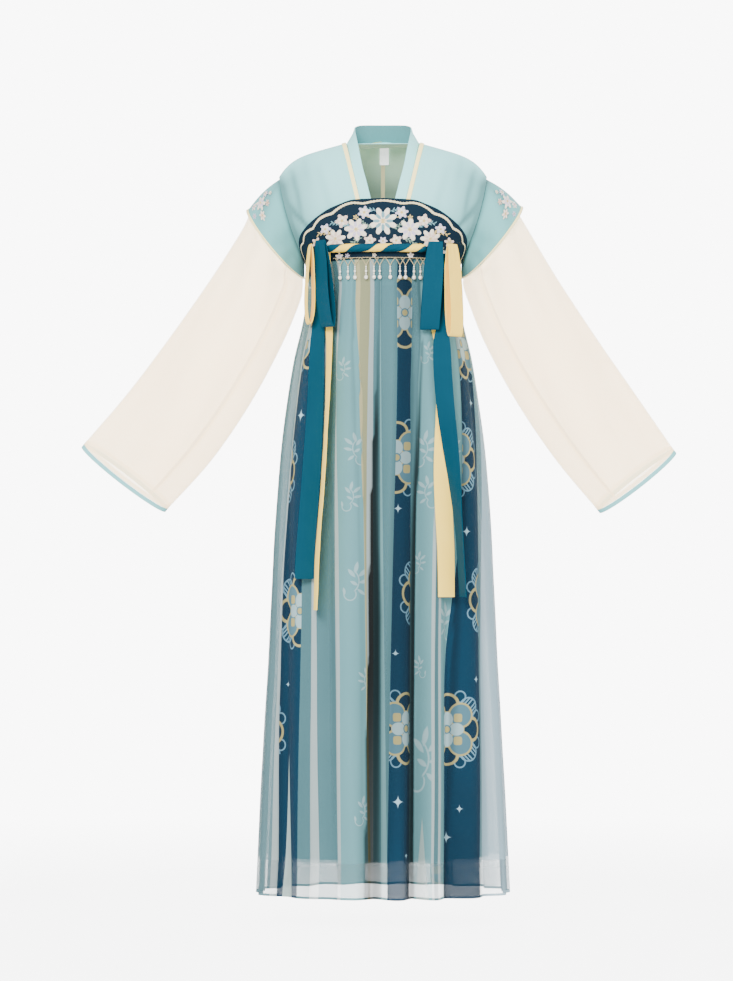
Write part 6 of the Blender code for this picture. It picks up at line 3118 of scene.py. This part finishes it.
        for step in range(round(2 * self.fringe_half / self.seed_pitch) + 1):
            lay(seeds, spot(-self.fringe_half + self.seed_pitch * step, -215.4, 0.1), 2.1, 2.0)
        for place in self.fringe_places:
            for side in (-1, 1):
                for share in even_shares(self.net_steps)[:-1]:
                    x = place + side * self.net_half * (1 - share) ** 1.3
                    height = self.net_height - self.net_drop * share
                    lay(seeds, spot(x, height, 0.15 + 0.85 * share), 1.5, 2.1)
            for height, wide, tall in self.strand_beads:
                lay(drops, spot(place, height, 1.0), wide, tall)
        seeds.finish("beads")
        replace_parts(drops.finish("beads"), "bead_fringe")

    def make(self) -> None:
        """Builds every trim."""
        self.band_flowers()
        self.sleeve_flowers()
        self.pearls()
        self.fringe()


@dataclass(frozen=True)
class Cut:
    """How a piece was cut and what holds it.

    Attributes:
        piece: Its name.
        flat: Width and length in metres.
        held: How it is held.
        rests_on: What holds it.
        area: Its flat area in square metres, where the cut isn't a rectangle.
        trims: The pieces sewn on it.
    """

    piece: str
    flat: tuple[float, float]
    held: str
    rests_on: tuple[str, ...]
    area: float | None = None
    trims: tuple[str, ...] = ()


CUTS = (
    Cut("bodice_front_left_cloth", (0.19, 0.33), "hung", ("bodice_back_cloth",), 0.0495),
    Cut("bodice_front_right_cloth", (0.19, 0.33), "hung", ("bodice_back_cloth",), 0.0495),
    Cut("bodice_back_cloth", (0.40, 0.36), "hung", ("collar_cloth",), 0.127, ("tape_strip",)),
    Cut("collar_cloth", (0.05, 0.88), "folded", ("bodice_back_cloth",), 0.0222, ("piping_cord",)),
    Cut("label_tab", (0.017, 0.032), "hung", ("bodice_back_cloth",)),
    Cut("half_sleeve_left_cloth", (0.45, 0.10), "hung", ("bodice_back_cloth",), 0.0283, ("hem_tape_left",)),
    Cut("half_sleeve_right_cloth", (0.45, 0.10), "hung", ("bodice_back_cloth",), 0.0273, ("hem_tape_right",)),
    Cut("long_sleeve_left_cloth", (0.42, 0.60), "hung", ("half_sleeve_left_cloth",), 0.213,
        ("cuff_left_bias",)),
    Cut("long_sleeve_right_cloth", (0.42, 0.60), "hung", ("half_sleeve_right_cloth",), 0.216,
        ("cuff_right_bias",)),
    Cut("chest_band_front_cloth", (0.37, 0.15), "stretched", ("bodice_front_left_cloth",), 0.0363),
    Cut("chest_band_back_cloth", (0.38, 0.03), "stretched", ("bodice_back_cloth",), 0.0103),
    Cut("skirt_front_cloth", (0.75, 1.13), "gathered", ("chest_band_front_cloth",), 0.669),
    Cut("skirt_back_cloth", (0.75, 1.10), "gathered", ("chest_band_back_cloth",), 0.645),
    Cut("skirt_lining_cloth", (1.04, 1.02), "hung", ("chest_band_front_cloth",), 0.934),
    Cut("belt_strand_teal_cloth", (0.019, 0.19), "folded", ("chest_band_front_cloth",)),
    Cut("belt_strand_cream_cloth", (0.019, 0.19), "folded", ("chest_band_front_cloth",)),
) + tuple(
    Cut(f"{colour}_{kind}_cloth", (0.034, long), held_as, (f"belt_strand_{colour}_cloth",))
    for colour, kind, long, held_as in (
        ("teal", "loop_left", 0.32, "folded"), ("teal", "loop_right", 0.32, "folded"),
        ("cream", "loop_left", 0.33, "folded"), ("cream", "loop_right", 0.29, "folded"),
        ("teal", "tail_left", 0.62, "hung"), ("teal", "tail_right", 0.59, "hung"),
        ("cream", "tail_left", 0.61, "hung"), ("cream", "tail_right", 0.64, "hung"),
    )
)


@dataclass
class Studio:
    """The pale floor, soft light and the camera.

    Attributes:
        distance: From the camera to the dress's middle plane, in metres.
        eye_height: The camera's height.
        lens: Its focal length in millimetres, on a sensor 36 millimetres long.
        shift: How far the picture is moved sideways and up, in widths.
        floor_height: Where the floor lies.
        soft_light: Strength of the light from all round.
        ground_light: Brightness of the white ground behind the dress.
        floor_cover: How much of the ground the floor covers.
        floor_size: The floor's radius.
        floor_rim: How far out it has faded by half.
        floor_fade: Over what width it fades.
        aim: Where the lights point.
        lamps: Each light's name, place, width and strength.
    """

    distance: float = 6.8
    eye_height: float = -0.76
    lens: float = 138.6
    shift: tuple[float, float] = (-0.0168, 0.0762)
    floor_height: float = -1.40
    soft_light: float = 1.25
    ground_light: float = 9.0
    floor_cover: float = 0.3
    floor_size: float = 3.0
    floor_rim: float = 1.9
    floor_fade: float = 1.8

    aim = Vector((0, 0, -0.65))
    lamps = (
        ("key light", Vector((-1.2, -4.35, 1.5)), 1.8, 390),
        ("fill light", Vector((3.2, -2.6, 0.2)), 2.6, 100),
        ("back light", Vector((0.8, 3.4, 1.6)), 3.0, 150),
    )

    def floor(self) -> None:
        """A round pale floor whose rim fades out."""
        bpy.ops.object.select_all(action="DESELECT")
        bpy.ops.mesh.primitive_circle_add(vertices=96, radius=self.floor_size, fill_type="NGON",
                                          location=(0, 0, self.floor_height))
        floor = bpy.context.view_layer.objects.active
        floor.name = "floor"
        bpy.ops.object.transform_apply(location=True)
        bench = Bench("pale floor")
        x, y, _ = bench.axes()
        away = bench.math("SQRT", x * x + y * y)
        tint = bench.blend(bench.clouds(3.0), srgb(250, 250, 250), srgb(246, 246, 246))
        bench.dress({"Alpha": bench.below(away, self.floor_rim, self.floor_fade) * self.floor_cover,
                     "Base Color": tint, "Roughness": 0.9})
        floor.data.materials.append(bench.material)

    def lamp(self, name: str, place: Vector, size: float, power: float) -> None:
        """Adds a square soft light that faces the dress.

        Args:
            name: Its name.
            place: Where it stands, in metres.
            size: Its width.
            power: Its strength in watts.
        """
        bpy.ops.object.light_add(type="AREA", location=place)
        lamp = bpy.context.view_layer.objects.active
        lamp.name = name
        lamp.data.shape = "SQUARE"
        lamp.data.size = size
        lamp.data.energy = power
        lamp.rotation_euler = (self.aim - place).to_track_quat("-Z", "Y").to_euler()

    def room(self) -> None:
        """Surrounds the dress with soft light, in front of a white ground."""
        world = bpy.data.worlds.new("pale room")
        world.use_nodes = True
        tree = world.node_tree
        glow = tree.nodes["Background"]
        glow.inputs["Color"].default_value = (1, 1, 1, 1)
        ray = tree.nodes.new("ShaderNodeLightPath")
        strength = tree.nodes.new("ShaderNodeMapRange")
        strength.inputs["To Min"].default_value = self.soft_light
        strength.inputs["To Max"].default_value = self.ground_light
        tree.links.new(ray.outputs["Is Camera Ray"], strength.inputs["Value"])
        tree.links.new(strength.outputs[0], glow.inputs["Strength"])
        bpy.context.scene.world = world

    def make(self) -> None:
        """Builds the studio."""
        self.floor()
        for lamp in self.lamps:
            self.lamp(*lamp)
        self.room()
        camera = bpy.data.cameras.new("camera")
        camera.lens = self.lens
        camera.sensor_width = 36
        camera.shift_x, camera.shift_y = self.shift
        eye = bpy.data.objects.new("camera", camera)
        eye.location = (0, -self.distance, self.eye_height)
        eye.rotation_euler = (math.radians(90), 0, 0)
        bpy.context.scene.collection.objects.link(eye)
        bpy.context.scene.camera = eye


SLEEVES = Sleeves()


def main() -> None:
    """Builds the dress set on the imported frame."""
    logging.basicConfig(level=logging.INFO, format="%(message)s")
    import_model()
    Studio().make()
    for part in (Jacket(), SLEEVES, CHEST, SKIRT, Ribbons(), Trimmings()):
        part.make()
    for cut in CUTS:
        trims = [bpy.data.objects[name] for name in cut.trims]
        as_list(cut.rests_on)


if __name__ == "__main__":
    main()
